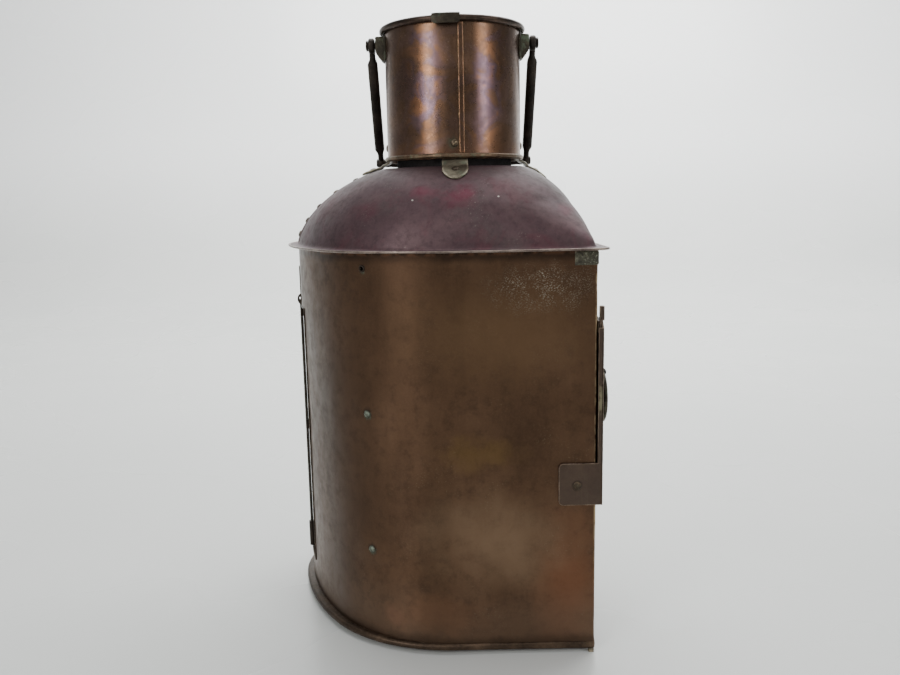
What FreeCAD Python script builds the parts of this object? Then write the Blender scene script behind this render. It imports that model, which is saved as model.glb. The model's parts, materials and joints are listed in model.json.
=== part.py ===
import FreeCAD, Part
import math
import os

# Copper ship's side lantern. Millimetres, +Z up, base on z = 0, Z axis through the chimney.
# +X is the flat wall with the bracket socket, -Y is the plain flat wall, and the lens faces -X +Y.
# The plan is mirror-symmetric about the line y = -x.

# ---- driving dimensions ----
XB = 95.2            # flat walls, outer face at x = +XB and y = -XB
XC1, YC1, R1 = -5.2, 14.8, 110.0      # first wall arc
TURN1 = 57.0         # degrees turned by the first arc
R2 = 224.7           # second, flatter arc
TURN2 = 80.0         # degrees turned at the end of the second arc
T = 1.0              # sheet thickness of the wall
Z_WALL0, Z_WALL1 = 4.6, 292.7
Z_LENS0, Z_LENS1 = 29.0, 243.0        # lens opening
OPEN_HALF = 75.0     # half angle of the lens opening about the lens centre
WIN_HALF = 50.0      # half angle of the glazed window
Z_RIM0, Z_RIM1 = 293.1, 294.6         # hood flange
RIM_OUT = 7.6        # flange overhang, to the centre of the rolled edge
RIM_R = 0.9          # rolled edge radius
RIM_CORNER = 11.0    # rounding of the flange corner
Z_DOME0, Z_CROWN = 294.0, 352.2
R_CROWN = 50.0
DOME_P = 1.6
R_NECK = 44.0
CH_R = 51.0          # chimney outer radius
CH_T = 0.8
CH_Z0, CH_Z1 = 357.4, 455.3
PIV_Z = 444.0        # bail pivot height
GRIP_Y, GRIP_Z, GRIP_R = 60.5, 359.5, 4.1
ARM_X0, ARM_X1 = 58.4, 63.6
HINGE_X, HINGE_Z = 98.9, 289.0
RING_X, RING_Y, RING_Z = 104.9, -57.0, 183.4
RING_MAJ, RING_MIN = 18.0, 2.0

V = FreeCAD.Vector
rad = math.radians
os.makedirs("parts", exist_ok=True)
NODES = {}


def put(name, shape):
    NODES[name] = shape


def pol(c, r, a):
    return (c[0] + r * math.cos(rad(a)), c[1] + r * math.sin(rad(a)))


# ---- plan outline, as tangent arcs that offset exactly ----
A1 = -90.0 - TURN1
A2 = -90.0 - TURN2
C1 = (XC1, YC1)
R1 = YC1 + XB
_p1 = pol(C1, R1, A1)
C2 = (_p1[0] - R2 * math.cos(rad(A1)), _p1[1] - R2 * math.sin(rad(A1)))
_n = pol(C2, R2, A2)
R3 = -(_n[0] + _n[1]) / (math.cos(rad(A2 + 180)) + math.sin(rad(A2 + 180)))
C3 = (_n[0] - R3 * math.cos(rad(A2)), _n[1] - R3 * math.sin(rad(A2)))
SWEEP3 = 2 * (360 + A2 - 135.0)      # turn of the lens arc


def mir(p):
    return (-p[1], -p[0])


def outline_wire(d, z, rc=0.0):
    def v(p):
        return V(p[0], p[1], z)

    def arc(c, r, a, b, m=False):
        pts = [pol(c, r, a), pol(c, r, 0.5 * (a + b)), pol(c, r, b)]
        if m:
            pts = [mir(p) for p in pts][::-1]
        return Part.Arc(v(pts[0]), v(pts[1]), v(pts[2])).toShape(), pts[0], pts[2]

    e = []
    B = XB + d
    if rc > 0:
        c = (B - rc, -B + rc)
        s0, s1 = (B, -B + rc), (B - rc, -B)
        e.append(Part.Arc(v(s0), v(pol(c, rc, -45)), v(s1)).toShape())
    else:
        s0 = s1 = (B, -B)
    a1, p0, p1 = arc(C1, R1 + d, -90, A1)
    a2, _, _ = arc(C2, R2 + d, A1, A2)
    a3, _, q = arc(C3, R3 + d, A2, A2 - SWEEP3)
    m2, _, _ = arc(C2, R2 + d, A1, A2, True)
    m1, _, pe = arc(C1, R1 + d, -90, A1, True)
    e.append(Part.makeLine(v(s1), v(p0)))
    e += [a1, a2, a3, m2, m1]
    e.append(Part.makeLine(v(pe), v(s0)))
    return Part.Wire(Part.__sortEdges__(e))


def prism(d, z0, z1, rc=0.0):
    return Part.Face(outline_wire(d, z0, rc)).extrude(V(0, 0, z1 - z0))


def ring(d0, d1, z0, z1, rc0=0.0, rc1=0.0):
    return prism(d1, z0, z1, rc1).cut(prism(d0, z0 - 1, z1 + 1, rc0))


def outline_pts(d=0.0, rc=0.0, step=2.0):
    """Dense points round the outline, clockwise from the back corner; d may be a function of the point."""
    base = []

    def seg(a, b):
        n = max(2, int(math.hypot(b[0] - a[0], b[1] - a[1]) / step))
        nx, ny = (b[1] - a[1]), -(b[0] - a[0])
        L = math.hypot(nx, ny)
        for i in range(n):
            t = i / n
            base.append((a[0] + t * (b[0] - a[0]), a[1] + t * (b[1] - a[1]), -nx / L, -ny / L))

    def arc(c, r, a, b, m=False):
        n = max(3, int(abs(rad(b - a)) * r / step))
        out = []
        for i in range(n):
            an = a + (b - a) * i / n
            p = pol(c, r, an)
            out.append((p[0], p[1], math.cos(rad(an)), math.sin(rad(an))))
        if m:
            out = [(-p[1], -p[0], -p[3], -p[2]) for p in out][::-1]
        base.extend(out)

    if rc > 0:
        c = (XB - rc, -XB + rc)
        arc(c, rc, -0.01, -90)
        s = (XB - rc, -XB)
        s2 = (XB, -XB + rc)
    else:
        s = s2 = (XB, -XB)
    seg(s, (XC1, -XB))
    arc(C1, R1, -90, A1)
    arc(C2, R2, A1, A2)
    arc(C3, R3, A2, A2 - SWEEP3)
    arc(C2, R2, A1, A2, True)
    arc(C1, R1, -90, A1, True)
    seg(mir((XC1, -XB)), s2)
    res = []
    for x, y, nx, ny in base:
        dd = d(x, y) if callable(d) else d
        q = (x + nx * dd, y + ny * dd)
        if not res or math.hypot(q[0] - res[-1][0], q[1] - res[-1][1]) > 0.05 * step:
            res.append(q)
    return res


def polar_table(rc, n=360):
    pts = outline_pts(0.0, rc, 1.0)
    tab = sorted((math.atan2(y, x), math.hypot(x, y)) for x, y in pts)
    out = []
    m = len(tab)
    for i in range(n):
        a = -math.pi + 2 * math.pi * i / n
        lo = 0
        for k in range(m):
            if tab[k][0] <= a:
                lo = k
            else:
                break
        a0, r0 = tab[lo]
        a1, r1 = tab[(lo + 1) % m]
        if a1 < a0:
            a1 += 2 * math.pi
        t = (a - a0) / (a1 - a0) if a1 > a0 else 0.0
        out.append(r0 + (r1 - r0) * max(0.0, min(1.0, t)))
    return out


POLAR = polar_table(9.0)


def blurred(sig_deg):
    if sig_deg < 0.3:
        return POLAR
    n = len(POLAR)
    k = int(3 * sig_deg) + 1
    w = [math.exp(-0.5 * (i / sig_deg) ** 2) for i in range(-k, k + 1)]
    s = sum(w)
    return [sum(w[j + k] * POLAR[(i + j) % n] for j in range(-k, k + 1)) / s for i in range(n)]


def dome_frac(z):
    u = max(0.0, min(1.0, (z - 293.6) / (Z_CROWN + 0.6 - 293.6)))
    return 1 - (1 - u ** DOME_P) ** (1 / DOME_P)


_blur_cache = {}


def dome_radius(theta_deg, z, grow=0.0):
    """Outer radius of the raised hood at a height, in direction theta."""
    f = dome_frac(z)
    sig = round(14.0 * min(1.0, max(0.0, z - 296) / 30.0), 1)
    if sig not in _blur_cache:
        _blur_cache[sig] = blurred(sig)
    tab = _blur_cache[sig]
    a = (theta_deg + 180.0) % 360.0
    i = int(a)
    t = a - i
    R = tab[i % 360] * (1 - t) + tab[(i + 1) % 360] * t
    return R_CROWN + (R - R_CROWN) * (1 - f) + grow


def dome_z(theta_deg, r):
    lo, hi = 295.0, Z_CROWN
    for _ in range(40):
        m = 0.5 * (lo + hi)
        if dome_radius(theta_deg, m) > r:
            lo = m
        else:
            hi = m
    return 0.5 * (lo + hi)


def dome_solid(grow, z0, dz, zs):
    wires = []
    for z in zs:
        pts = []
        for i in range(72):
            th = -180 + 5.0 * i
            r = dome_radius(th, max(z, 294.0), grow)
            pts.append(V(r * math.cos(rad(th)), r * math.sin(rad(th)), z + dz))
        b = Part.BSplineCurve()
        b.interpolate(pts, PeriodicFlag=True)
        wires.append(Part.Wire([b.toShape()]))
    return Part.makeLoft(wires, True, False)


def cyl(r, h, base, axis=(0, 0, 1)):
    return Part.makeCylinder(r, h, V(*base), V(*axis))


def tube(ro, ri, h, base, axis=(0, 0, 1)):
    a = V(*axis)
    a.normalize()
    b = V(*base)
    return Part.makeCylinder(ro, h, b, a).cut(Part.makeCylinder(ri, h + 2, b - a, a))


def box(x0, x1, y0, y1, z0, z1):
    return Part.makeBox(x1 - x0, y1 - y0, z1 - z0, V(x0, y0, z0))


def rivet(base, axis, r_shank, depth, r_head, h_head):
    """A dome-headed rivet; base is on the sheet's face and axis points out of it."""
    a = V(*axis)
    a.normalize()
    b = V(*base)
    sh = Part.makeCylinder(r_shank, depth, b - a * depth, a)
    rs = (r_head ** 2 + h_head ** 2) / (2 * h_head)
    sph = Part.makeSphere(rs, b - a * (rs - h_head))
    head = sph.common(Part.makeCylinder(r_head * 1.01, h_head + 0.01, b, a))
    return sh.fuse(head)


def wedge(half, z0, z1, r=150.0, centre=None, mid=135.0):
    c = centre or C3
    pts = [V(c[0], c[1], z0)]
    n = 6
    for i in range(n + 1):
        p = pol(c, r, mid - half + 2 * half * i / n)
        pts.append(V(p[0], p[1], z0))
    pts.append(pts[0])
    return Part.Face(Part.makePolygon(pts)).extrude(V(0, 0, z1 - z0))


def revolve_ring(profile, centre=(0, 0)):
    """Revolve a closed (r, z) profile about the vertical line through centre."""
    pts = [V(centre[0] + r, centre[1], z) for r, z in profile]
    pts.append(pts[0])
    f = Part.Face(Part.makePolygon(pts))
    return f.revolve(V(centre[0], centre[1], 0), V(0, 0, 1), 360)


def bead_ring(rc, zc, rad_bead):
    return Part.makeTorus(rc, rad_bead, V(0, 0, zc))


# ================= case =================
# Base pan with a stamped foot that stands on z = 0.
pan = prism(-9.0, 0.0, 4.4).cut(prism(-10.2, 1.2, 6.0))
pan = pan.fuse(ring(-10.2, -1.25, 3.2, 4.4))
put("base_pan", pan)


# Double-seamed bead round the foot; it stands proudest round the lens side.
def bead_d(x, y, extra=0.0):
    t = min(1.0, max(0.0, (XB - x + XB + y) / 2.0 / 150.0))   # 0 at the back corner
    s = t * t * (3 - 2 * t)
    return 0.45 + 5.6 * s + extra


def spline_prism(d, z0, z1):
    pts = [V(x, y, z0) for x, y in outline_pts(d, 0.0, 12.0)]
    first = V(XB + d(XB, -XB), -XB - d(XB, -XB), z0)
    pts = [first] + pts[1:] + [first]
    b = Part.BSplineCurve()
    b.interpolate(pts)
    return Part.Face(Part.Wire([b.toShape()])).extrude(V(0, 0, z1 - z0))


b_out = spline_prism(lambda x, y: bead_d(x, y), 3.0, 8.2)
bead = b_out.cut(prism(0.05, 2.0, 9.0))
put("base_bead", bead)

wall = ring(-T, 0.0, Z_WALL0, Z_WALL1)
wall = wall.cut(wedge(OPEN_HALF, Z_LENS0, Z_LENS1))
e_ax = (math.cos(rad(-124.0)), math.sin(rad(-124.0)), 0)
fx = pol(C1, R1, -124.0)
wall = wall.cut(cyl(1.5, 6, (fx[0] - 3 * e_ax[0], fx[1] - 3 * e_ax[1], 282.0), e_ax))
put("wall_sheet", wall)

# Solder blob and seam end at the back corner, down to the table.
put("corner_foot", box(90.8, 94.6, -95.9, -92.2, 0.0, 2.9))

# Reinforcing patch soldered round the top of the back corner.
patch = box(79.5, XB + 0.95, -XB - 0.95, -XB - 0.05, 283.0, 292.6).fuse(
    box(XB + 0.05, XB + 0.95, -XB - 0.95, -84.0, 283.0, 292.6))
put("corner_patch", patch)

# Fixings of the inner guide rail on the near wall, in one vertical line.
put("guide_eyelet", tube(2.6, 1.5, 2.4, (fx[0] - 1.6 * e_ax[0], fx[1] - 1.6 * e_ax[1], 282.0), e_ax))
rv = []
for z in (177.6, 74.8):
    rv.append(rivet((fx[0] + 0.05 * e_ax[0], fx[1] + 0.05 * e_ax[1], z), e_ax, 1.2, 2.6, 2.6, 1.3))
put("guide_rivets", Part.makeCompound(rv))

# Inner guide rail for a lens shade: an upright channel behind the three fixings.
t_ax = (-e_ax[1], e_ax[0])


def rail_box(n0, n1, s0, s1, z0, z1):
    ps = []
    for n, s in ((n0, s0), (n1, s0), (n1, s1), (n0, s1)):
        ps.append(V(fx[0] + n * e_ax[0] + s * t_ax[0], fx[1] + n * e_ax[1] + s * t_ax[1], z0))
    ps.append(ps[0])
    return Part.Face(Part.makePolygon(ps)).extrude(V(0, 0, z1 - z0))


rail = rail_box(-2.6, -1.6, -7, 7, 62, 285.6).fuse(rail_box(-8.0, -2.6, -7, -6, 62, 285.6)).fuse(
    rail_box(-8.0, -2.6, 6, 7, 62, 285.6))
rail = rail.cut(cyl(2.65, 6, (fx[0] - 4 * e_ax[0], fx[1] - 4 * e_ax[1], 282.0), e_ax))
for z in (177.6, 74.8):
    rail = rail.cut(cyl(1.25, 6, (fx[0] - 4 * e_ax[0], fx[1] - 4 * e_ax[1], z), e_ax))
put("guide_rail", rail)

# ---- bracket socket on the +X wall ----
SX0, SX1 = 98.2, 99.6
SY0, SY1 = -96.9, -20.0
sock = box(SX0, SX1, SY0, SY1, 113.0, 244.6)
sock = sock.cut(Part.Face(Part.makePolygon([V(0, SY0 - 1, 245), V(0, SY0 - 1, 239), V(0, SY0 + 5, 245), V(0, SY0 - 1, 245)])).extrude(V(200, 0, 0)))
sock = sock.fuse(box(XB + 0.7, SX1, SY0, SY0 + 1.4, 113.0, 240.0))     # near edge, folded in towards the wall
sock = sock.fuse(box(XB + 0.05, SX1, SY1 - 1.4, SY1, 113.0, 244.6))
sock = sock.fuse(box(XB + 0.05, XB + 1.2, SY1 - 1.4, SY1 + 12.0, 113.0, 244.6))
flap = box(68.5, SX1, SY0, -XB - 0.05, 113.0, 144.0)
ed = [e for e in flap.Edges if abs(e.Vertexes[0].Point.x - 68.5) < 0.01 and abs(e.Vertexes[-1].Point.x - 68.5) < 0.01
      and abs(e.Vertexes[0].Point.y - e.Vertexes[-1].Point.y) > 1.0]
flap = flap.makeFillet(3.5, ed)
sock = sock.fuse(flap).removeSplitter()
put("bracket_socket", sock)
put("socket_rivets", Part.makeCompound([
    rivet((81.5, SY0 - 0.03, 127.6), (0, -1, 0), 1.6, 2.6, 3.1, 1.3),
    rivet((XB + 1.23, -13.0, 128.0), (1, 0, 0), 1.6, 2.1, 3.0, 1.2),
    rivet((XB + 1.23, -13.0, 180.0), (1, 0, 0), 1.6, 2.1, 3.0, 1.2),
    rivet((XB + 1.23, -13.0, 232.0), (1, 0, 0), 1.6, 2.1, 3.0, 1.2)]))
put("socket_stop_bar", box(96.3, 98.15, -92.0, -36.0, 236.0, 244.0).fuse(box(97.2, 98.15, -94.0, -89.5, 236.0, 247.0)).fuse(
    box(97.2, 100.3, -94.0, -89.5, 244.65, 254.6)).removeSplitter())
put("ring_backplate", box(SX1 + 0.05, SX1 + 0.95, -76.0, -38.0, 163.4, 207.4))
st = tube(3.2, 2.5, 7.0, (RING_X, RING_Y - 3.5, RING_Z + RING_MAJ), (0, 1, 0))
lg = box(SX1 + 0.95, RING_X - 1.5, RING_Y - 3.5, RING_Y + 3.5, RING_Z + RING_MAJ - 2.8, RING_Z + RING_MAJ + 2.8)
lg = lg.cut(cyl(2.5, 9, (RING_X, RING_Y - 4.5, RING_Z + RING_MAJ), (0, 1, 0)))
put("ring_staple", st.fuse(lg).removeSplitter().cut(box(90.0, SX1 + 1.0, -80, -40, 190, 230)))
put("ring_pull", Part.makeTorus(RING_MAJ, RING_MIN, V(RING_X, RING_Y, RING_Z), V(1, 0, 0)))

# ---- lens and its frame ----
zl0, zl1 = Z_LENS0 + 4.0, Z_LENS1 - 4.0
zc = 0.5 * (zl0 + zl1)
ro = R3 - 4.6
prof = [(ro - 7.0, zl0), (ro - 7.0, zl1)]
n_rib = 8
half = 0.5 * (zl1 - zl0)
belt = 22.0
step = (half - belt) / n_rib
up_side = []
up_side.append((ro - 3.4, zl1))
for k in range(n_rib, 0, -1):
    z_out = zc + belt + step * (k)
    z_in = zc + belt + step * (k - 1)
    up_side.append((ro - 3.0, z_out - 0.01 if k == n_rib else z_out))
    up_side.append((ro - 0.2, z_in + step * 0.12))
    up_side.append((ro - 3.0, z_in))
mid_pts = []
for i in range(1, 8):
    a = -1 + 2 * i / 8.0
    mid_pts.append((ro - 3.0 + 3.0 * math.sqrt(max(0.0, 1 - a * a)), zc - a * belt))
low_side = [(r, 2 * zc - z) for r, z in up_side[::-1]]
prof2 = [(ro - 7.0, zl0), (ro - 7.0, zl1)] + up_side[1:] + mid_pts + low_side[:-1]
lens_full = revolve_ring(prof2, C3)
lens = lens_full.common(wedge(WIN_HALF + 4.0, zl0 - 5, zl1 + 5))
put("lens", lens)

# Frame: an inner liner sheet behind the opening, with the glazed window cut out.
fr = ring(-2.5, -1.3, Z_LENS0 - 6, Z_LENS1 + 6).common(wedge(OPEN_HALF + 4.0, Z_LENS0 - 7, Z_LENS1 + 7))
fr = fr.cut(wedge(WIN_HALF, Z_LENS0 + 8, Z_LENS1 - 8))
put("lens_frame", fr)


def arc_channel(r0, r1, z0, z1, h):
    a = revolve_ring([(r0, z0), (r1, z0), (r1, z1), (r0, z1)], C3)
    return a.common(wedge(h, z0 - 2, z1 + 2))


lo_ch = arc_channel(ro - 9.0, R3 - 2.8, zl0 - 6.0, zl0 + 3.0, WIN_HALF + 5).cut(
    arc_channel(ro - 7.3, ro + 0.3, zl0 - 0.1, zl0 + 4.0, WIN_HALF + 6))
hi_ch = arc_channel(ro - 9.0, R3 - 2.8, zl1 - 3.0, zl1 + 6.0, WIN_HALF + 5).cut(
    arc_channel(ro - 7.3, ro + 0.3, zl1 - 4.0, zl1 + 0.1, WIN_HALF + 6))
put("lens_channels", Part.makeCompound([lo_ch, hi_ch]))

# ---- locking rod at the near edge of the lens opening ----
ra = A2 - 0.5
ROD_C = pol(C3, R3 + 0.25, ra)
nr = (math.cos(rad(ra)), math.sin(rad(ra)))
lugs = []
for z0, z1 in ((Z_LENS0 + 1.0, Z_LENS0 + 23.0), (136.0, 144.0), (Z_LENS1 - 9.0, Z_LENS1 - 3.0)):
    outer = 2.5 if z0 < 60 else 2.1
    b = cyl(outer, z1 - z0, (ROD_C[0], ROD_C[1], z0))
    foot = Part.Face(Part.makePolygon([V(ROD_C[0] + nr[0] * n - nr[1] * s, ROD_C[1] + nr[1] * n + nr[0] * s, z0)
                                       for n, s in ((-1.55, -1.6), (1.0, -1.6), (1.0, 1.6), (-1.55, 1.6), (-1.55, -1.6))])).extrude(V(0, 0, z1 - z0))
    k = b.fuse(foot).cut(cyl(1.26, z1 - z0 + 2, (ROD_C[0], ROD_C[1], z0 - 1)))
    k = k.cut(prism(-1.3, z0 - 1, z1 + 1))
    if z0 > 60:
        k = k.common(prism(1.4, z0, z1))      # upper keepers are open clips, flush with the rod
    lugs.append(k.removeSplitter())
put("rod_keepers", Part.makeCompound(lugs))
rod = cyl(1.2, Z_LENS1 + 3.0 - (Z_LENS0 + 2.0), (ROD_C[0], ROD_C[1], Z_LENS0 + 2.0))
tn = (-nr[1], nr[0])
eye_c = V(ROD_C[0] - 1.1 * tn[0], ROD_C[1] - 1.1 * tn[1], Z_LENS1 + 5.2)
eye = Part.Face(Part.Wire([Part.Ellipse(V(eye_c.x, eye_c.y, eye_c.z + 4.4), V(eye_c.x + 2.9 * nr[0], eye_c.y + 2.9 * nr[1], eye_c.z), eye_c).toShape()]))
eye = eye.extrude(V(2.2 * tn[0], 2.2 * tn[1], 0)).cut(
    cyl(1.3, 6.0, (ROD_C[0] - 3 * tn[0], ROD_C[1] - 3 * tn[1], Z_LENS1 + 6.0), (tn[0], tn[1], 0)))
rod = rod.fuse(eye).removeSplitter()
put("locking_rod", rod)
# The eye works in an upright slot above the lens opening.
slot = Part.Face(Part.makePolygon([V(ROD_C[0] + nr[0] * n + tn[0] * s, ROD_C[1] + nr[1] * n + tn[1] * s, Z_LENS1 - 0.5)
                                   for n, s in ((-5.0, -1.6), (4.0, -1.6), (4.0, 1.6), (-5.0, 1.6), (-5.0, -1.6))])).extrude(V(0, 0, 32.5))
NODES["wall_sheet"] = NODES["wall_sheet"].cut(slot)
NODES["lens_frame"] = NODES["lens_frame"].cut(slot)

# ---- inside: lamp seat, reflector ----
seat = tube(54.0, 52.6, 14.0, (0, 0, 1.3)).fuse(tube(54.0, 30.0, 1.2, (0, 0, 1.3)))
put("lamp_seat", seat)
refl = revolve_ring([(70.0, 92.0), (70.8, 92.0), (70.8, 176.0), (70.0, 176.0)], (0, 0))
refl = refl.common(wedge(62.0, 90, 178, 120.0, (0, 0), -45.0))
legs = []
for a in (-85.0, -5.0):
    l = box(70.4, 94.1, -3.0, 3.0, 98.0, 99.2)
    l.rotate(V(0, 0, 0), V(0, 0, 1), a)
    legs.append(l)
reflector = refl
for l in legs:
    reflector = reflector.fuse(l)
put("reflector", reflector)

# ---- lamp: oil font and burner ----
FR = 51.5
font = revolve_ring([(0, 2.8), (FR - 3, 2.8), (FR, 5.5), (FR, 58.0), (FR - 6, 64.0), (14.0, 68.0), (14.0, 74.0), (0, 74.0)])
cav = revolve_ring([(0, 4.0), (FR - 3.6, 4.0), (FR - 1.2, 6.2), (FR - 1.2, 57.4), (FR - 6.6, 62.8), (12.0, 66.6), (12.0, 80.0), (0, 80.0)])
font = font.cut(cav)
FCX, FCY = -32.0, -14.0
fneck_z = 74.0
font = font.fuse(cyl(9.0, 14.0, (FCX, FCY, 60.0))).cut(cyl(7.6, 30.0, (FCX, FCY, 50.0)))
cav2 = cav.common(cyl(20, 80, (FCX, FCY, 0)))
font = font.cut(cav2)
put("oil_font", font)
cap = cyl(11.4, 8.0, (FCX, FCY, 68.4)).cut(cyl(9.06, 6.5, (FCX, FCY, 67.6)))
cap = cap.fuse(cyl(5.0, 2.5, (FCX, FCY, 76.4)))
put("filler_cap", cap)
collar = tube(17.0, 10.6, 8.0, (0, 0, 74.05)).fuse(tube(11.95, 10.6, 7.0, (0, 0, 68.0))).removeSplitter()
put("burner_collar", collar)
burn = revolve_ring([(10.0, 82.1), (20.0, 82.1), (24.0, 88.0), (24.0, 94.0), (21.0, 96.5), (10.0, 96.5)])
burn = burn.fuse(box(-10.0, 10.0, -3.2, 3.2, 76.0, 112.0)).cut(box(-8.9, 8.9, -2.1, 2.1, 70.0, 120.0))
burn = burn.cut(cyl(1.36, 60.0, (-11.0, 6.4, 90.0), (1, 0, 0)))
put("burner", burn)
defl = revolve_ring([(21.2, 96.6), (22.2, 96.6), (22.2, 104.0), (18.0, 114.0), (9.0, 119.4), (9.0, 118.2), (17.2, 113.2), (21.2, 103.6)])
put("flame_deflector", defl.cut(box(-12.5, 12.5, -4.6, 4.6, 100.0, 125.0)))
put("wick", box(-8.5, 8.5, -0.9, 0.9, 20.0, 114.5))
spindle = cyl(1.3, 70.0, (-10.0, 6.4, 90.0), (1, 0, 0))
knob = cyl(7.0, 2.6, (57.6, 6.4, 90.0), (1, 0, 0))
for k in range(12):
    a = rad(30 * k)
    knob = knob.cut(cyl(0.9, 3.0, (57.4, 6.4 + 7.4 * math.cos(a), 90.0 + 7.4 * math.sin(a)), (1, 0, 0)))
put("wick_knob", spindle.fuse(knob))

# ---- hood hinge, case side: leaf on the +X wall with two knuckles, and its pin ----
leaf = box(XB + 0.05, XB + 1.45, -25.0, 25.0, 262.0, HINGE_Z).cut(box(XB - 1, XB + 5, -9.1, 9.1, 285.6, 300.0))
for y0 in (-25.0, 9.0):
    leaf = leaf.fuse(cyl(2.9, 16.0, (HINGE_X, y0, HINGE_Z), (0, 1, 0)))
leaf = leaf.cut(cyl(1.52, 60.0, (HINGE_X, -30.0, HINGE_Z), (0, 1, 0))).removeSplitter()
put("hinge_leaf_case", leaf)
put("hinge_pin", cyl(1.5, 51.6, (HINGE_X, -25.8, HINGE_Z), (0, 1, 0)).fuse(
    cyl(2.4, 1.2, (HINGE_X, -26.9, HINGE_Z), (0, 1, 0))))
put("hinge_rivets", Part.makeCompound([rivet((XB + 1.47, y, z), (1, 0, 0), 1.5, 2.3, 2.8, 1.2)
                                       for y in (-18.0, 18.0) for z in (268.0, 280.0)]))
hl = cyl(2.9, 17.4, (HINGE_X, -8.7, HINGE_Z), (0, 1, 0)).fuse(
    box(97.9, 99.9, -8.7, 8.7, 291.0, 293.0)).fuse(box(96.2, 102.4, -8.7, 8.7, 292.0, 293.0))
hl = hl.cut(cyl(1.56, 60.0, (HINGE_X, -30.0, HINGE_Z), (0, 1, 0))).removeSplitter()
put("hinge_leaf_hood", hl)

# ---- hood hook on the far side: it hangs from a stud on the case ----
HA = 73.0
HC = mir(C2)
HP = pol(HC, R2, HA)
HN = (math.cos(rad(HA)), math.sin(rad(HA)))
HT = (-HN[1], HN[0])
HZ, HD = 268.0, 32.0


def hpt(n, s, z):
    return (HP[0] + n * HN[0] + s * HT[0], HP[1] + n * HN[1] + s * HT[1], z)


def hcyl(r, n0, n1, z, s=0.0):
    return cyl(r, n1 - n0, hpt(n0, s, z), (HN[0], HN[1], 0))


put("hook_stud", hcyl(3.2, 0.05, 9.6, HZ).fuse(hcyl(1.8, 9.6, 12.5, HZ)).fuse(hcyl(3.4, 12.4, 13.6, HZ)))
put("hood_catch", hcyl(1.8, 0.6, 12.5, HZ + HD).fuse(hcyl(3.0, 12.4, 13.4, HZ + HD)).fuse(
    hcyl(3.2, 0.6, 9.4, HZ + HD)))


def hplate(pts, n0, n1):
    w = [V(*hpt(n0, s, z)) for s, z in pts]
    w.append(w[0])
    d = n1 - n0
    return Part.Face(Part.makePolygon(w)).extrude(V(HN[0] * d, HN[1] * d, 0))


hk = hcyl(5.0, 9.9, 12.1, HZ).fuse(hplate([(-3.6, HZ), (3.6, HZ), (4.6, HZ - HD - 4), (-4.6, HZ - HD - 4)], 9.9, 12.1))
hk = hk.fuse(hcyl(4.6, 9.9, 12.1, HZ - HD - 4))
hk = hk.cut(hcyl(1.86, 9, 13, HZ))
arcpts_o, arcpts_i = [], []
for k in range(9):
    a = rad(-90.0 - 1.8 * k * 1.4)
    arcpts_o.append(((HD + 2.25) * -math.cos(a), HZ + (HD + 2.25) * math.sin(a)))
    arcpts_i.append(((HD - 2.25) * -math.cos(a), HZ + (HD - 2.25) * math.sin(a)))
notch = hplate(arcpts_o + arcpts_i[::-1], 9, 13).fuse(hcyl(2.25, 9, 13, HZ - HD))
hk = hk.cut(notch).removeSplitter()
put("hood_hook", hk)

# ================= hood =================
ZS = [294.0, 297.5, 302.0, 308.0, 315.0, 322.0, 329.0, 335.0, 340.0, 344.0, 347.5, 350.0, 351.6, 352.2]
outer = dome_solid(0.0, 0, 0.0, ZS)
inner = dome_solid(-1.0, 0, -1.0, ZS)
hood = outer.fuse(prism(RIM_OUT - RIM_R - 0.03, Z_RIM0, Z_RIM1, RIM_CORNER - RIM_R))
hood = hood.cut(inner).cut(cyl(R_NECK + 0.03, 20.0, (0, 0, 340.0)))
put("hood_dome", hood)

rw = outline_wire(RIM_OUT, 0.5 * (Z_RIM0 + Z_RIM1), RIM_CORNER)
c0 = Part.makeCircle(RIM_R, V(20.0, -XB - RIM_OUT, 0.5 * (Z_RIM0 + Z_RIM1)), V(1, 0, 0))
half_wires = None
try:
    sweep = rw.makePipeShell([Part.Wire([c0])], True, False)
    if not sweep.isValid() or sweep.Volume < 1:
        raise ValueError
    put("hood_rim_wire", sweep)
except Exception as ex:
    print("rim sweep fallback", ex)
    put("hood_rim_wire", ring(RIM_OUT - RIM_R, RIM_OUT + RIM_R, Z_RIM0 - 0.1, Z_RIM1 + 0.2, RIM_CORNER - RIM_R, RIM_CORNER + RIM_R))

spig = ring(-2.6, -1.5, 286.4, 293.0).cut(box(86.0, 110.0, -120.0, 60.0, 280.0, 300.0)).cut(
    box(60.0, 120.0, -20.0, 60.0, 280.0, 300.0))
put("hood_spigot", spig)
put("hood_neck", tube(R_NECK, R_NECK - 1.0, 24.0, (0, 0, 348.0)))

# Lapped, riveted seams of the hood, either side of its front gore.
grown = dome_solid(0.75, 0, 0.25, ZS)
cutter = dome_solid(0.05, 0, 0.05, ZS)
SEAMS = (165.0, 105.0)
strips, sriv = [], []
for a in SEAMS:
    slab = box(62.0, 150.0, -6.5, 6.5, 295.2, 351.5)
    slab.rotate(V(0, 0, 0), V(0, 0, 1), a)
    strips.append(grown.common(slab).cut(cutter))
    for z in (303.0, 314.0, 325.0, 336.0, 345.0):
        r = dome_radius(a, z) + 0.7
        dz = 0.5
        sl = (dome_radius(a, z + dz) - dome_radius(a, z - dz)) / (2 * dz)
        ax = V(math.cos(rad(a)), math.sin(rad(a)), -sl)
        sriv.append(rivet((r * math.cos(rad(a)), r * math.sin(rad(a)), z + 0.3), (ax.x, ax.y, ax.z), 1.2, 1.7, 2.7, 1.4))
put("hood_seams", Part.makeCompound(strips))
put("hood_rivets", Part.makeCompound(sriv))

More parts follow.
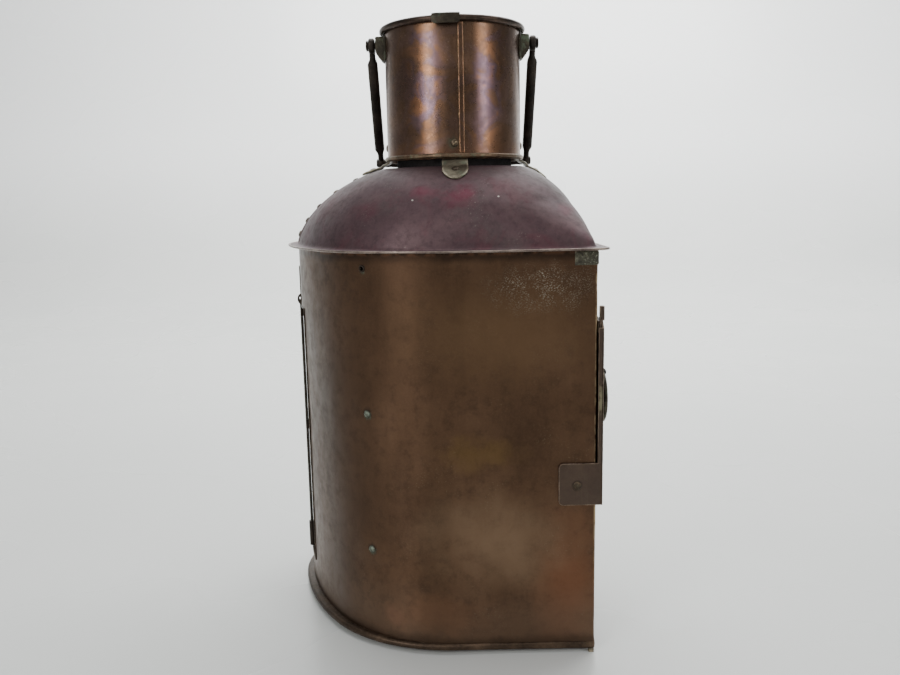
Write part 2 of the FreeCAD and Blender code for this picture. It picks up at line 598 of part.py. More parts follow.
# ---- chimney ----
put("chimney_shell", tube(CH_R, CH_R - CH_T, CH_Z1 - CH_Z0, (0, 0, CH_Z0)))
bb = Part.makeTorus(51.4, 1.9, V(0, 0, 359.3)).cut(cyl(CH_R + 0.02, 10, (0, 0, 355)))
put("chimney_bottom_bead", bb)
tb = Part.makeTorus(52.7, 2.3, V(0, 0, 453.0)).cut(cyl(CH_R + 0.02, 10, (0, 0, 449)))
put("chimney_top_bead", tb)


def sector(ro_, ri_, z0, z1, mid, h):
    return tube(ro_, ri_, z1 - z0, (0, 0, z0)).common(wedge(h, z0 - 1, z1 + 1, 120.0, (0, 0), mid))


put("chimney_seam", sector(51.95, 51.04, 361.3, 450.3, -83.9, 2.0))
cp = tube(56.1, 49.2, 7.6, (0, 0, 448.8)).cut(tube(55.15, 50.1, 6.6, (0, 0, 448.8)))
put("rim_clip", cp.common(wedge(10.6, 440, 460, 120.0, (0, 0), -94.9)))
baf = cyl(38.0, 1.0, (0, 0, 404.0))
for a in (30.0, 150.0, 270.0):
    b = box(36.0, 50.1, -3.0, 3.0, 404.0, 405.0)
    b.rotate(V(0, 0, 0), V(0, 0, 1), a)
    baf = baf.fuse(b)
put("chimney_baffle", baf.removeSplitter())

straps, triv = [], []
for a in (0.0, 90.0, 180.0, 270.0):
    th = a if a <= 180 else a - 360
    top = [(47.0, 357.6), (50.6, 357.0), (54.6, 355.3)]
    for r in (58.0, 61.0, 65.0, 69.0, 74.0):
        top.append((r, dome_z(th, r) + 1.75))
    bot = [(r, z - 1.3) for r, z in top]
    pts = [V(r, -11.0, z) for r, z in top] + [V(r, -11.0, z) for r, z in bot[::-1]]
    pts.append(pts[0])
    s = Part.Face(Part.makePolygon(pts)).extrude(V(0, 22.0, 0))
    s = s.common(box(40, 62.5, -9.3, 9.3, 330, 400).fuse(cyl(9.3, 60, (62.5, 0, 330))))
    up = tube(50.15, 48.9, 22.0, (0, 0, 356.6)).common(wedge(10.8, 350, 390, 120.0, (0, 0), 0.0))
    s = s.fuse(up).cut(tube(60.0, 50.17, 40.0, (0, 0, CH_Z0 - 0.05))).removeSplitter()
    s.rotate(V(0, 0, 0), V(0, 0, 1), a)
    straps.append(s)
    c, sn = math.cos(rad(a)), math.sin(rad(a))
    triv.append(rivet(((CH_R + 0.02) * c, (CH_R + 0.02) * sn, 368.0), (c, sn, 0), 1.5, 2.4, 2.7, 1.4))
    zt = dome_z(th, 63.0) + 1.75
    slope = (dome_z(th, 64.0) - dome_z(th, 62.0)) / 2.0
    triv.append(rivet((63.0 * c, 63.0 * sn, zt + 0.05), (-slope * c, -slope * sn, 1.0), 1.4, 1.4, 2.6, 1.1))
put("chimney_straps", Part.makeCompound(straps))
put("strap_rivets", Part.makeCompound(triv))

# ---- bail lugs, pivots and bail ----
lugs2, pivs = [], []
for sgn in (1, -1):
    pts = [(50.0, 431.5), (53.0, 432.4), (58.0, 438.6), (58.0, 449.8), (50.0, 449.8)]
    w = [V(x, -6.5, z) for x, z in pts]
    w.append(w[0])
    lb = Part.Face(Part.makePolygon(w)).extrude(V(0, 13.0, 0))
    lb = lb.fuse(tube(52.3, 51.04, 18.4, (0, 0, 431.5)).common(wedge(14.5, 430, 452, 120.0, (0, 0), 0.0)))
    lb = lb.cut(cyl(CH_R + 0.04, 60, (0, 0, 410))).cut(cyl(2.52, 30, (40, 0, PIV_Z), (1, 0, 0)))
    tbc = Part.makeTorus(52.7, 2.32, V(0, 0, 453.0))
    lb = lb.cut(tbc).removeSplitter()
    pv = cyl(2.5, 12.9, (51.06, 0, PIV_Z), (1, 0, 0)).fuse(cyl(4.1, 1.5, (ARM_X1 + 0.3, 0, PIV_Z), (1, 0, 0)))
    if sgn < 0:
        lb.rotate(V(0, 0, 0), V(0, 0, 1), 180)
        pv.rotate(V(0, 0, 0), V(0, 0, 1), 180)
    lugs2.append(lb)
    pivs.append(pv)
put("bail_lugs", Part.makeCompound(lugs2))
put("bail_pivots", Part.makeCompound(pivs))

dy, dz_ = GRIP_Y, GRIP_Z - PIV_Z
L = math.hypot(dy, dz_)
uy, uz = dy / L, dz_ / L
wy, wz = -uz, uy
arms = []
for sgn in (1, -1):
    x0 = ARM_X0 if sgn > 0 else -ARM_X1
    w = ARM_X1 - ARM_X0
    # the bar is wider than its two eyes
    ps = [V(sgn * x, wy * -3.2 + uy * l, PIV_Z + wz * -3.2 + uz * l) for x, l in (
        (ARM_X0, 0), (ARM_X0, 10.4), (57.3, 14.0), (57.3, L - 13.0), (ARM_X0, L - 9.0), (ARM_X0, L),
        (ARM_X1, L), (ARM_X1, L - 9.0), (65.3, L - 13.0), (65.3, 14.0), (ARM_X1, 10.4), (ARM_X1, 0))]
    ps.append(ps[0])
    bar = Part.Face(Part.makePolygon(ps)).extrude(V(0, 6.4 * wy, 6.4 * wz))
    bar = bar.fuse(cyl(5.6, w, (x0, 0, PIV_Z), (1, 0, 0))).fuse(cyl(4.9, w, (x0, GRIP_Y, GRIP_Z), (1, 0, 0)))
    bar = bar.cut(cyl(2.56, w + 2, (x0 - 1, 0, PIV_Z), (1, 0, 0))).cut(cyl(2.52, w + 2, (x0 - 1, GRIP_Y, GRIP_Z), (1, 0, 0)))
    arms.append(bar.removeSplitter())
put("bail_arms", Part.makeCompound(arms))
grip = cyl(GRIP_R, 2 * ARM_X0 - 0.1, (-ARM_X0 + 0.05, GRIP_Y, GRIP_Z), (1, 0, 0))
grip = grip.fuse(cyl(2.5, 2 * ARM_X1, (-ARM_X1, GRIP_Y, GRIP_Z), (1, 0, 0)))
grip = grip.fuse(cyl(3.6, 1.6, (ARM_X1 + 0.03, GRIP_Y, GRIP_Z), (1, 0, 0))).fuse(
    cyl(3.6, 1.6, (-ARM_X1 - 1.63, GRIP_Y, GRIP_Z), (1, 0, 0))).fuse(
    cyl(2.5, 2 * ARM_X1 + 0.2, (-ARM_X1 - 0.1, GRIP_Y, GRIP_Z), (1, 0, 0)))
put("bail_grip", grip)

# Rivets pass through the sheets they hold.
for a, b in (("wall_sheet", "socket_rivets"), ("wall_sheet", "hinge_rivets"), ("wall_sheet", "guide_rivets"),
             ("wall_sheet", "guide_eyelet"), ("bracket_socket", "socket_rivets"), ("hinge_leaf_case", "hinge_rivets"),
             ("chimney_shell", "strap_rivets"), ("chimney_straps", "strap_rivets"), ("guide_rail", "guide_rivets"),
             ("hood_seams", "hood_rivets"), ("hood_dome", "hood_rivets")):
    shp = NODES[a]
    for s in NODES[b].Solids:
        shp = shp.cut(s)
    NODES[a] = shp

for name, shp in sorted(NODES.items()):
    sols = shp.Solids
    ok = all(s.isValid() for s in sols)
    bb_ = shp.BoundBox
    print("%-22s solids %2d valid %s vol %9.1f  x %.1f..%.1f y %.1f..%.1f z %.1f..%.1f" % (
        name, len(sols), ok, shp.Volume, bb_.XMin, bb_.XMax, bb_.YMin, bb_.YMax, bb_.ZMin, bb_.ZMax))
    out = sols[0] if len(sols) == 1 else Part.makeCompound(sols)
    out.exportStep("parts/%s.step" % name)
print("nodes", len(NODES))
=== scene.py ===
import json
import math
import bpy
import bmesh
import numpy as np
from mathutils import Matrix, Vector, noise


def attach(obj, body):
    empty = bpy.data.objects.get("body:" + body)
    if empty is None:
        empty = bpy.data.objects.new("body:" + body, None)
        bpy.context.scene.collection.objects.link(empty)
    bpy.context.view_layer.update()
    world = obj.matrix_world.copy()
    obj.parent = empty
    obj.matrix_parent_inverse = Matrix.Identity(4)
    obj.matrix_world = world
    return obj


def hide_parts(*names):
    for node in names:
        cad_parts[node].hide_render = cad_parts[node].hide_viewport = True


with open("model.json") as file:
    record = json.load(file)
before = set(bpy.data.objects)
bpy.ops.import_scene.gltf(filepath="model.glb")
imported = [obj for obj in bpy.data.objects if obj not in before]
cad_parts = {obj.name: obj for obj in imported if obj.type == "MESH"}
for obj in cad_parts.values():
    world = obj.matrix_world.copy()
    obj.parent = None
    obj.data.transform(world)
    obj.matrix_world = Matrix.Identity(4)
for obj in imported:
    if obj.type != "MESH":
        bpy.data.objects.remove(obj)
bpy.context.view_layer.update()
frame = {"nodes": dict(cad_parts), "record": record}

MM = 0.001
rad = math.radians
NODES = frame["nodes"]

# ------------------------------------------------------------------ camera
F_PX, TILT, ROLL, H_CAM = 835.0, rad(9.52), rad(-1.14), 0.3299
fwd = Vector((0, math.cos(TILT), -math.sin(TILT)))
rt0 = Vector((1, 0, 0))
up0 = rt0.cross(fwd)
rt = rt0 * math.cos(ROLL) + up0 * math.sin(ROLL)
up = -rt0 * math.sin(ROLL) + up0 * math.cos(ROLL)
cam_data = bpy.data.cameras.new("camera")
cam_data.sensor_width = 36.0
cam_data.lens = F_PX / 900.0 * 36.0
cam_data.clip_start = 0.02
cam = bpy.data.objects.new("camera", cam_data)
bpy.context.scene.collection.objects.link(cam)
M = Matrix((rt, up, -fwd)).transposed().to_4x4()
M.translation = Vector((-0.006, -0.660, H_CAM))
cam.matrix_world = M
bpy.context.scene.camera = cam


# ------------------------------------------------------------------ node helpers
class NT:
    def __init__(self, name):
        self.mat = bpy.data.materials.new(name)
        self.mat.use_nodes = True
        self.t = self.mat.node_tree
        self.t.nodes.clear()
        self.out = self.t.nodes.new("ShaderNodeOutputMaterial")
        self.tc = self.t.nodes.new("ShaderNodeTexCoord")

    def n(self, kind, **kw):
        nd = self.t.nodes.new(kind)
        for k, v in kw.items():
            setattr(nd, k, v)
        return nd

    def link(self, a, b):
        self.t.links.new(a, b)

    def coords(self, scale=(1, 1, 1), rot=(0, 0, 0), loc=(0, 0, 0)):
        mp = self.n("ShaderNodeMapping")
        mp.inputs["Scale"].default_value = scale
        mp.inputs["Rotation"].default_value = rot
        mp.inputs["Location"].default_value = loc
        self.link(self.tc.outputs["Object"], mp.inputs["Vector"])
        return mp.outputs["Vector"]

    def noise(self, scale, detail=4.0, rough=0.55, vec=None, dist=0.0):
        nd = self.n("ShaderNodeTexNoise")
        nd.inputs["Scale"].default_value = scale
        nd.inputs["Detail"].default_value = detail
        nd.inputs["Roughness"].default_value = rough
        nd.inputs["Distortion"].default_value = dist
        self.link(vec if vec is not None else self.coords(), nd.inputs["Vector"])
        return nd.outputs["Fac"]

    def ramp(self, fac, stops, interp="LINEAR"):
        nd = self.n("ShaderNodeValToRGB")
        cr = nd.color_ramp
        cr.interpolation = interp
        while len(cr.elements) < len(stops):
            cr.elements.new(0.5)
        for e, (p, c) in zip(cr.elements, stops):
            e.position = p
            e.color = (c[0], c[1], c[2], 1.0) if isinstance(c, (tuple, list)) else (c, c, c, 1.0)
        self.link(fac, nd.inputs["Fac"])
        return nd.outputs["Color"]

    def mix(self, fac, a, b, mode="MIX"):
        nd = self.n("ShaderNodeMix", data_type="RGBA", blend_type=mode)
        for sock, v in ((nd.inputs[0], fac), (nd.inputs[6], a), (nd.inputs[7], b)):
            if isinstance(v, (int, float)):
                sock.default_value = v
            elif isinstance(v, (tuple, list)):
                sock.default_value = (v[0], v[1], v[2], 1.0)
            else:
                self.link(v, sock)
        return nd.outputs[2]

    def math(self, op, a, b=0.0, clamp=False):
        nd = self.n("ShaderNodeMath", operation=op, use_clamp=clamp)
        for i, v in enumerate((a, b)):
            if isinstance(v, (int, float)):
                nd.inputs[i].default_value = v
            else:
                self.link(v, nd.inputs[i])
        return nd.outputs[0]

    def maprange(self, v, a, b, c=0.0, d=1.0, smooth=True):
        nd = self.n("ShaderNodeMapRange")
        nd.interpolation_type = "SMOOTHSTEP" if smooth else "LINEAR"
        self.link(v, nd.inputs["Value"])
        nd.inputs["From Min"].default_value = a
        nd.inputs["From Max"].default_value = b
        nd.inputs["To Min"].default_value = c
        nd.inputs["To Max"].default_value = d
        return nd.outputs["Result"]

    def spot(self, centre, radii, soft=0.6, ragged=0.35, scale=60.0):
        """A soft ragged patch round a point, in metres: 1 inside, 0 outside."""
        sc = tuple(1.0 / r for r in radii)
        loc = tuple(-c / r for c, r in zip(centre, radii))
        v = self.coords(scale=sc, loc=loc)
        ln = self.n("ShaderNodeVectorMath", operation="LENGTH")
        self.link(v, ln.inputs[0])
        nz = self.noise(scale, 3.0, 0.6)
        s = self.math("ADD", ln.outputs["Value"], self.math("MULTIPLY", self.math("SUBTRACT", nz, 0.5), 2 * ragged))
        return self.maprange(s, 1.0, 1.0 - soft, 0.0, 1.0)

    def zcoord(self):
        sp = self.n("ShaderNodeSeparateXYZ")
        self.link(self.tc.outputs["Object"], sp.inputs[0])
        return sp.outputs

    def shader(self, color, rough, metallic=1.0, bump=None, bump_strength=0.2, bump_dist=0.001, **extra):
        b = self.n("ShaderNodeBsdfPrincipled")
        for key, v in (("Base Color", color), ("Roughness", rough), ("Metallic", metallic)):
            s = b.inputs[key]
            if isinstance(v, (int, float)):
                s.default_value = v
            elif isinstance(v, (tuple, list)):
                s.default_value = (v[0], v[1], v[2], 1.0)
            else:
                self.link(v, s)
        for k, v in extra.items():
            b.inputs[k.replace("_", " ")].default_value = v
        if bump is not None:
            bp = self.n("ShaderNodeBump")
            bp.inputs["Strength"].default_value = bump_strength
            bp.inputs["Distance"].default_value = bump_dist
            self.link(bump, bp.inputs["Height"])
            self.link(bp.outputs["Normal"], b.inputs["Normal"])
        self.link(b.outputs["BSDF"], self.out.inputs["Surface"])
        self.bsdf = b
        return self.mat


def lin(r, g, b):
    return tuple(((c / 255.0) / 12.92 if c <= 10 else (((c / 255.0) + 0.055) / 1.055) ** 2.4) for c in (r, g, b))


def patina(name, dark, mid, light, rough=(0.34, 0.56), metallic=0.75, blotch=14.0, speck=(0.0, (0.3, 0.3, 0.3)),
           bump=0.25, streak=0.5, extra_color=None, wear=None, fine=420.0, grain_k=0.22,
           bscale=90.0, small_k=0.4):
    t = NT(name)
    big = t.noise(blotch, 5.0, 0.6, dist=0.4)
    stv = t.coords(scale=(1, 1, 0.18))
    st = t.noise(blotch * 3.2, 4.0, 0.6, vec=stv)
    f = t.math("ADD", t.math("MULTIPLY", big, 1.0 - 0.5 * streak), t.math("MULTIPLY", st, 0.5 * streak))
    col = t.ramp(f, [(0.34, dark), (0.5, mid), (0.68, light)])
    small = t.noise(blotch * 11, 4.0, 0.65)
    col = t.mix(t.maprange(small, 0.45, 0.72, 0.0, small_k), col, tuple(0.62 * c for c in dark))
    grain = t.noise(fine, 3.0, 0.7)
    col = t.mix(t.maprange(grain, 0.35, 0.75, 0.0, grain_k), col, tuple(min(1, 1.5 * c) for c in light))
    if speck[0] > 0:
        sp = t.noise(900.0, 2.0, 0.5)
        msk = t.math("MULTIPLY", t.maprange(sp, 0.62, 0.70), t.maprange(t.noise(30.0, 3.0), 0.5, 0.65))
        col = t.mix(t.math("MULTIPLY", msk, speck[0]), col, speck[1])
    if extra_color:
        col = extra_color(t, col)
    if wear:
        geo = t.n("ShaderNodeNewGeometry")
        w = t.maprange(geo.outputs["Pointiness"], 0.52, 0.60)
        w = t.math("MULTIPLY", w, t.maprange(t.noise(160.0, 3.0), 0.35, 0.6))
        col = t.mix(t.math("MULTIPLY", w, wear[0]), col, wear[1])
    r = t.maprange(t.math("ADD", t.math("MULTIPLY", small, 0.6), t.math("MULTIPLY", big, 0.4)), 0.35, 0.68, rough[0], rough[1])
    h = t.math("ADD", t.math("MULTIPLY", t.noise(bscale, 5.0, 0.6), 0.7), t.math("MULTIPLY", grain, 0.3))
    return t, t.shader(col, r, metallic, bump=h, bump_strength=bump, bump_dist=0.0006)


# ------------------------------------------------------------------ materials
W_DARK, W_MID, W_LIGHT = lin(67, 48, 34), lin(83, 61, 44), lin(98, 74, 56)


def wall_extra(t, col):
    z = t.zcoord()
    # copper showing warm near the foot at the right, yellow film in the middle
    m = t.spot((0.075, -0.0952, 0.055), (0.030, 0.03, 0.070), 0.9, 0.5, 30.0)
    col = t.mix(t.math("MULTIPLY", m, 0.50), col, lin(122, 78, 54))
    m = t.spot((0.010, -0.0952, 0.150), (0.040, 0.05, 0.016), 0.9, 0.8, 45.0)
    col = t.mix(t.math("MULTIPLY", m, 0.30), col, lin(112, 88, 46))
    m = t.spot((0.028, -0.0952, 0.085), (0.075, 0.06, 0.050), 0.95, 0.5, 22.0)
    col = t.mix(t.math("MULTIPLY", m, 0.48), col, lin(138, 114, 90))
    m = t.spot((-0.052, -0.084, 0.026), (0.009, 0.02, 0.009), 0.6, 0.7, 140.0)
    col = t.mix(t.math("MULTIPLY", m, 0.16), col, lin(160, 108, 88))
    m = t.spot((0.030, -0.0952, 0.238), (0.095, 0.06, 0.055), 0.95, 0.4, 16.0)
    col = t.mix(t.math("MULTIPLY", m, 0.42), col, lin(122, 95, 68))
    m = t.spot((-0.085, -0.060, 0.160), (0.050, 0.070, 0.190), 0.95, 0.4, 12.0)
    col = t.mix(t.math("MULTIPLY", m, 0.50), col, lin(54, 36, 22))
    m = t.spot((-0.104, -0.030, 0.145), (0.034, 0.055, 0.180), 0.95, 0.4, 16.0)
    col = t.mix(t.math("MULTIPLY", m, 0.28), col, lin(34, 24, 17))
    # painted reflection of the floor: the wall lighter towards the foot
    col = t.mix(t.maprange(z[2], 0.060, 0.020, 0.0, 0.32), col, lin(116, 96, 80))
    m = t.spot((-0.020, -0.0952, 0.030), (0.060, 0.05, 0.020), 0.9, 0.7, 60.0)
    col = t.mix(t.math("MULTIPLY", m, 0.25), col, lin(132, 92, 66))
    # pale scuffs below the rim
    v = t.coords(scale=(1.0, 1.0, 1.5), rot=(0, rad(18), 0))
    sc = t.math("MULTIPLY", t.maprange(t.noise(820.0, 4.0, 0.8, vec=v), 0.52, 0.62), t.maprange(t.noise(130.0, 4.0, 0.75), 0.38, 0.56))
    sc = t.math("MULTIPLY", sc, t.math("ADD", t.math("MULTIPLY", t.spot((0.050, -0.0952, 0.273), (0.024, 0.05, 0.012), 0.9, 0.8, 90.0), 0.6),
                                       t.spot((0.060, -0.0952, 0.268), (0.048, 0.05, 0.022), 0.9, 0.8, 70.0)), )
    col = t.mix(t.math("MULTIPLY", sc, 0.80), col, lin(170, 162, 146))
    # worn bright arris up the back corner
    cv = t.coords(scale=(1.0, 1.0, 0.0), loc=(-0.0952, 0.0952, 0.0))
    ln = t.n("ShaderNodeVectorMath", operation="LENGTH")
    t.link(cv, ln.inputs[0])
    ar = t.math("MULTIPLY", t.maprange(ln.outputs["Value"], 0.0019, 0.0006), t.maprange(t.noise(110.0, 4.0, 0.6), 0.38, 0.6))
    ar = t.math("MULTIPLY", ar, t.maprange(z[2], 0.040, 0.110))
    col = t.mix(t.math("MULTIPLY", ar, 0.75), col, lin(176, 156, 122))
    # painted shade on the wall in the gap behind the socket plate
    shade_behind_socket = t.spot((0.0952, -0.055, 0.18), (0.004, 0.045, 0.085), 0.7, 0.3, 40.0)
    col = t.mix(t.math("MULTIPLY", shade_behind_socket, 0.5), col, lin(40, 32, 26))
    # painted shade in a band under the hood rim, and a dark band at the foot
    nz = t.math("MULTIPLY", t.math("SUBTRACT", t.noise(40.0, 4.0), 0.5), 0.010)
    zz = t.math("ADD", z[2], nz)
    col = t.mix(t.maprange(zz, 0.284, 0.292, 0.0, 0.72), col, lin(40, 28, 22))
    col = t.mix(t.maprange(zz, 0.016, 0.008, 0.0, 0.6), col, lin(48, 36, 26))
    # verdigris at the fixings
    for zc, rr in ((0.1776, 0.0045), (0.0748, 0.0045), (0.282, 0.0036)):
        m = t.spot((-0.0665, -0.0768, zc), (rr * 1.1, rr * 1.1, rr * 1.3), 0.6, 0.5, 240.0)
        col = t.mix(t.math("MULTIPLY", m, 0.55), col, lin(34, 27, 21))
        m = t.spot((-0.0665, -0.0768, zc - 0.001), (rr * 0.9, rr * 0.9, rr), 0.9, 0.8, 400.0)
        col = t.mix(t.math("MULTIPLY", m, 0.30), col, lin(110, 142, 128))
    return col


t_wall, MAT_WALL = patina("copper_wall", W_DARK, W_MID, W_LIGHT, rough=(0.33, 0.48), metallic=0.80, blotch=11.0,
                          speck=(0.22, lin(132, 120, 96)), bump=0.07, streak=0.8, extra_color=wall_extra,
                          wear=(0.35, lin(150, 106, 80)), fine=700.0, grain_k=0.12, bscale=55.0)


def hood_extra(t, col):
    z = t.zcoord()
    cr = t.maprange(t.noise(34.0, 4.0, 0.65, dist=0.6), 0.50, 0.66)
    col = t.mix(t.math("MULTIPLY", cr, 0.26), col, lin(98, 38, 52))
    for c, rr, kk in (((0.004, -0.075, 0.330), (0.017, 0.06, 0.0105), 0.55), ((-0.021, -0.070, 0.334), (0.012, 0.06, 0.006), 0.45),
                      ((0.078, -0.055, 0.320), (0.012, 0.05, 0.006), 0.45), ((-0.062, -0.060, 0.322), (0.020, 0.05, 0.010), 0.2)):
        m = t.spot(c, rr, 0.95, 0.8, 75.0)
        col = t.mix(t.math("MULTIPLY", m, kk), col, lin(112, 32, 58))
    bloom = t.maprange(t.noise(22.0, 5.0, 0.7), 0.5, 0.7)
    col = t.mix(t.math("MULTIPLY", bloom, 0.30), col, lin(84, 80, 76))
    for cx, cz in ((-0.0300, 0.3285), (0.0290, 0.3300)):
        m = t.spot((cx, -0.075, cz), (0.0009, 0.045, 0.0007), 0.5, 0.2, 200.0)
        col = t.mix(t.math("MULTIPLY", m, 0.8), col, lin(206, 200, 190))
    m = t.spot((0.060, -0.050, 0.330), (0.055, 0.09, 0.030), 0.95, 0.4, 25.0)
    col = t.mix(t.math("MULTIPLY", m, 0.50), col, lin(48, 35, 37))
    top = t.maprange(z[2], 0.336, 0.352, 0.0, 0.72)
    col = t.mix(top, col, lin(62, 44, 46))
    return col


t_hood, MAT_HOOD = patina("copper_hood", lin(66, 48, 52), lin(80, 59, 63), lin(96, 74, 76), rough=(0.44, 0.58),
                          metallic=0.50, blotch=20.0, speck=(0.35, lin(150, 142, 132)), bump=0.10, streak=0.0,
                          extra_color=hood_extra, wear=(0.4, lin(140, 124, 108)), grain_k=0.14, fine=600.0)


def chimney_extra(t, col):
    v = t.coords(scale=(1, 1, 1.15))
    a = t.noise(46.0, 3.0, 0.5, vec=v, dist=0.8)
    tint = t.ramp(a, [(0.34, lin(166, 118, 86)), (0.44, lin(130, 98, 82)), (0.52, lin(114, 97, 114)),
                      (0.59, lin(140, 112, 122)), (0.68, lin(176, 126, 94))])
    # heat tint laid mostly in the two vertical strips where the lamps' highlights fall, lighter than the brown: partly
    # heat tint, partly painted highlight
    tint_highlight_zone = t.math("MAXIMUM", t.spot((-0.020, -0.047, 0.408), (0.017, 0.03, 0.075), 0.9, 0.5, 50.0),
                  t.spot((0.024, -0.045, 0.408), (0.014, 0.03, 0.075), 0.9, 0.5, 50.0))
    col = t.mix(t.math("ADD", t.math("MULTIPLY", tint_highlight_zone, 0.56), 0.08), col, tint)
    z = t.zcoord()
    nz = t.math("MULTIPLY", t.math("SUBTRACT", t.noise(70.0, 4.0), 0.5), 0.012)
    col = t.mix(t.maprange(t.math("ADD", z[2], nz), 0.372, 0.360, 0.0, 0.22), col, lin(150, 108, 80))
    col = t.mix(t.maprange(t.math("ADD", z[2], nz), 0.440, 0.452, 0.0, 0.5), col, lin(92, 74, 60))
    for cx, cy in ((-0.001, -0.051), (0.051, 0.0), (-0.051, 0.0)):
        m = t.spot((cx, cy, 0.3678), (0.0062, 0.0062, 0.0058), 0.8, 0.7, 220.0)
        col = t.mix(t.math("MULTIPLY", m, 0.6), col, lin(88, 100, 82))
    return col


t_ch, MAT_CHIM = patina("copper_chimney", lin(80, 61, 47), lin(98, 76, 60), lin(120, 94, 78), rough=(0.26, 0.38),
                        metallic=0.94, blotch=30.0, speck=(0.30, lin(170, 150, 130)), bump=0.06, streak=0.9,
                        extra_color=chimney_extra, wear=(0.5, lin(176, 126, 96)), grain_k=0.12, fine=700.0, bscale=60.0)
_, MAT_DARK = patina("copper_dark", lin(30, 24, 19), lin(44, 35, 28), lin(64, 52, 41), rough=(0.40, 0.60), metallic=0.6,
                     blotch=40.0, bump=0.3, streak=0.3, small_k=0.25)


def sock_extra(t, col):
    m = t.spot((0.0815, -0.0965, 0.1276), (0.0048, 0.004, 0.0048), 0.5, 0.3, 220.0)
    col = t.mix(t.math("MULTIPLY", m, 0.5), col, lin(32, 26, 21))
    m = t.math("MULTIPLY", t.spot((0.0982, -0.0965, 0.190), (0.006, 0.004, 0.016), 0.8, 0.6, 90.0), t.maprange(t.noise(260.0, 4.0), 0.40, 0.58))
    col = t.mix(t.math("MULTIPLY", m, 0.6), col, lin(146, 142, 112))
    m = t.spot((0.099, -0.060, 0.183), (0.006, 0.030, 0.034), 0.9, 0.5, 40.0)
    col = t.mix(t.math("MULTIPLY", m, 0.35), col, lin(42, 34, 29))
    scr = t.maprange(t.noise(210.0, 3.0, 0.6, vec=t.coords(scale=(1, 1, 0.08))), 0.56, 0.66)
    return t.mix(t.math("MULTIPLY", scr, 0.06), col, lin(110, 96, 84))


_, MAT_SOCK = patina("copper_socket", lin(63, 50, 41), lin(71, 57, 47), lin(80, 65, 54), rough=(0.42, 0.52), metallic=0.60,
                     blotch=28.0, bump=0.12, streak=0.4, speck=(0.2, lin(112, 98, 86)), extra_color=sock_extra,
                     grain_k=0.10, small_k=0.10)
_, MAT_SOLDER = patina("solder_patch", lin(34, 32, 26), lin(60, 57, 46), lin(124, 122, 102), rough=(0.5, 0.75), metallic=0.45,
                       blotch=120.0, bump=0.6, streak=0.0, speck=(0.9, lin(196, 200, 180)), wear=(0.7, lin(186, 170, 146)))


def verd(t, col, k=0.5):
    m = t.maprange(t.noise(120.0, 4.0, 0.7), 0.52, 0.66)
    return t.mix(t.math("MULTIPLY", m, k), col, lin(116, 140, 118))


_, MAT_BRASS = patina("brass_dull", lin(38, 33, 27), lin(54, 48, 40), lin(84, 76, 60), rough=(0.34, 0.55), metallic=0.8,
                      blotch=70.0, bump=0.35, streak=0.0, extra_color=lambda t, c: verd(t, c, 0.12), small_k=0.3)
_, MAT_VERD = patina("brass_verdigris", lin(40, 36, 28), lin(60, 54, 43), lin(88, 84, 68), rough=(0.45, 0.7), metallic=0.6,
                     blotch=120.0, bump=0.4, streak=0.0, extra_color=lambda t, c: verd(t, c, 0.36))
_, MAT_IRON = patina("iron_black", lin(26, 22, 20), lin(40, 35, 31), lin(62, 54, 47), rough=(0.36, 0.58), metallic=0.7,
                     blotch=60.0, bump=0.5, streak=0.2, speck=(0.5, lin(110, 96, 80)), wear=(0.2, lin(118, 106, 94)))
_, MAT_LAMP = patina("brass_lamp", lin(150, 116, 58), lin(184, 146, 78), lin(206, 172, 104), rough=(0.22, 0.40), metallic=0.95,
                     blotch=30.0, bump=0.15, streak=0.3)
_, MAT_TIN = patina("tinned_sheet", lin(138, 136, 130), lin(166, 165, 160), lin(190, 188, 182), rough=(0.22, 0.42), metallic=0.95,
                    blotch=26.0, bump=0.15, streak=0.5)
_, MAT_SOOT = patina("sooted_sheet", lin(14, 12, 12), lin(22, 18, 18), lin(38, 32, 30), rough=(0.6, 0.85), metallic=0.3,
                     blotch=40.0, bump=0.4, streak=0.2)

t = NT("lens_glass")
hv = t.noise(60.0, 3.0, 0.5)
MAT_GLASS = t.shader(lin(222, 238, 230), t.maprange(t.noise(25.0, 4.0), 0.4, 0.7, 0.03, 0.14), 0.0, bump=hv, bump_strength=0.05,
                     bump_dist=0.0005, Transmission_Weight=1.0, IOR=1.5)

t = NT("wick_cotton")
wv = t.n("ShaderNodeTexWave", wave_type="BANDS", bands_direction="DIAGONAL")
wv.inputs["Scale"].default_value = 900.0
wv.inputs["Distortion"].default_value = 1.5
t.link(t.coords(), wv.inputs["Vector"])
ch = t.zcoord()
wc = t.mix(t.maprange(wv.outputs["Fac"], 0.2, 0.8, 0.0, 0.5), lin(214, 204, 176), lin(150, 138, 112))
wc = t.mix(t.maprange(ch[2], 0.108, 0.114), wc, lin(30, 26, 22))
MAT_WICK = t.shader(wc, 0.9, 0.0, bump=wv.outputs["Fac"], bump_strength=0.6, bump_dist=0.0004)

t = NT("seam_solder")
g = t.noise(300.0, 3.0)
MAT_GOLD = t.shader(t.ramp(g, [(0.35, lin(58, 45, 34)), (0.6, lin(96, 77, 56)), (0.75, lin(150, 128, 96))]),
                    t.maprange(g, 0.3, 0.7, 0.3, 0.5), 0.85, bump=g, bump_strength=0.3, bump_dist=0.0003)

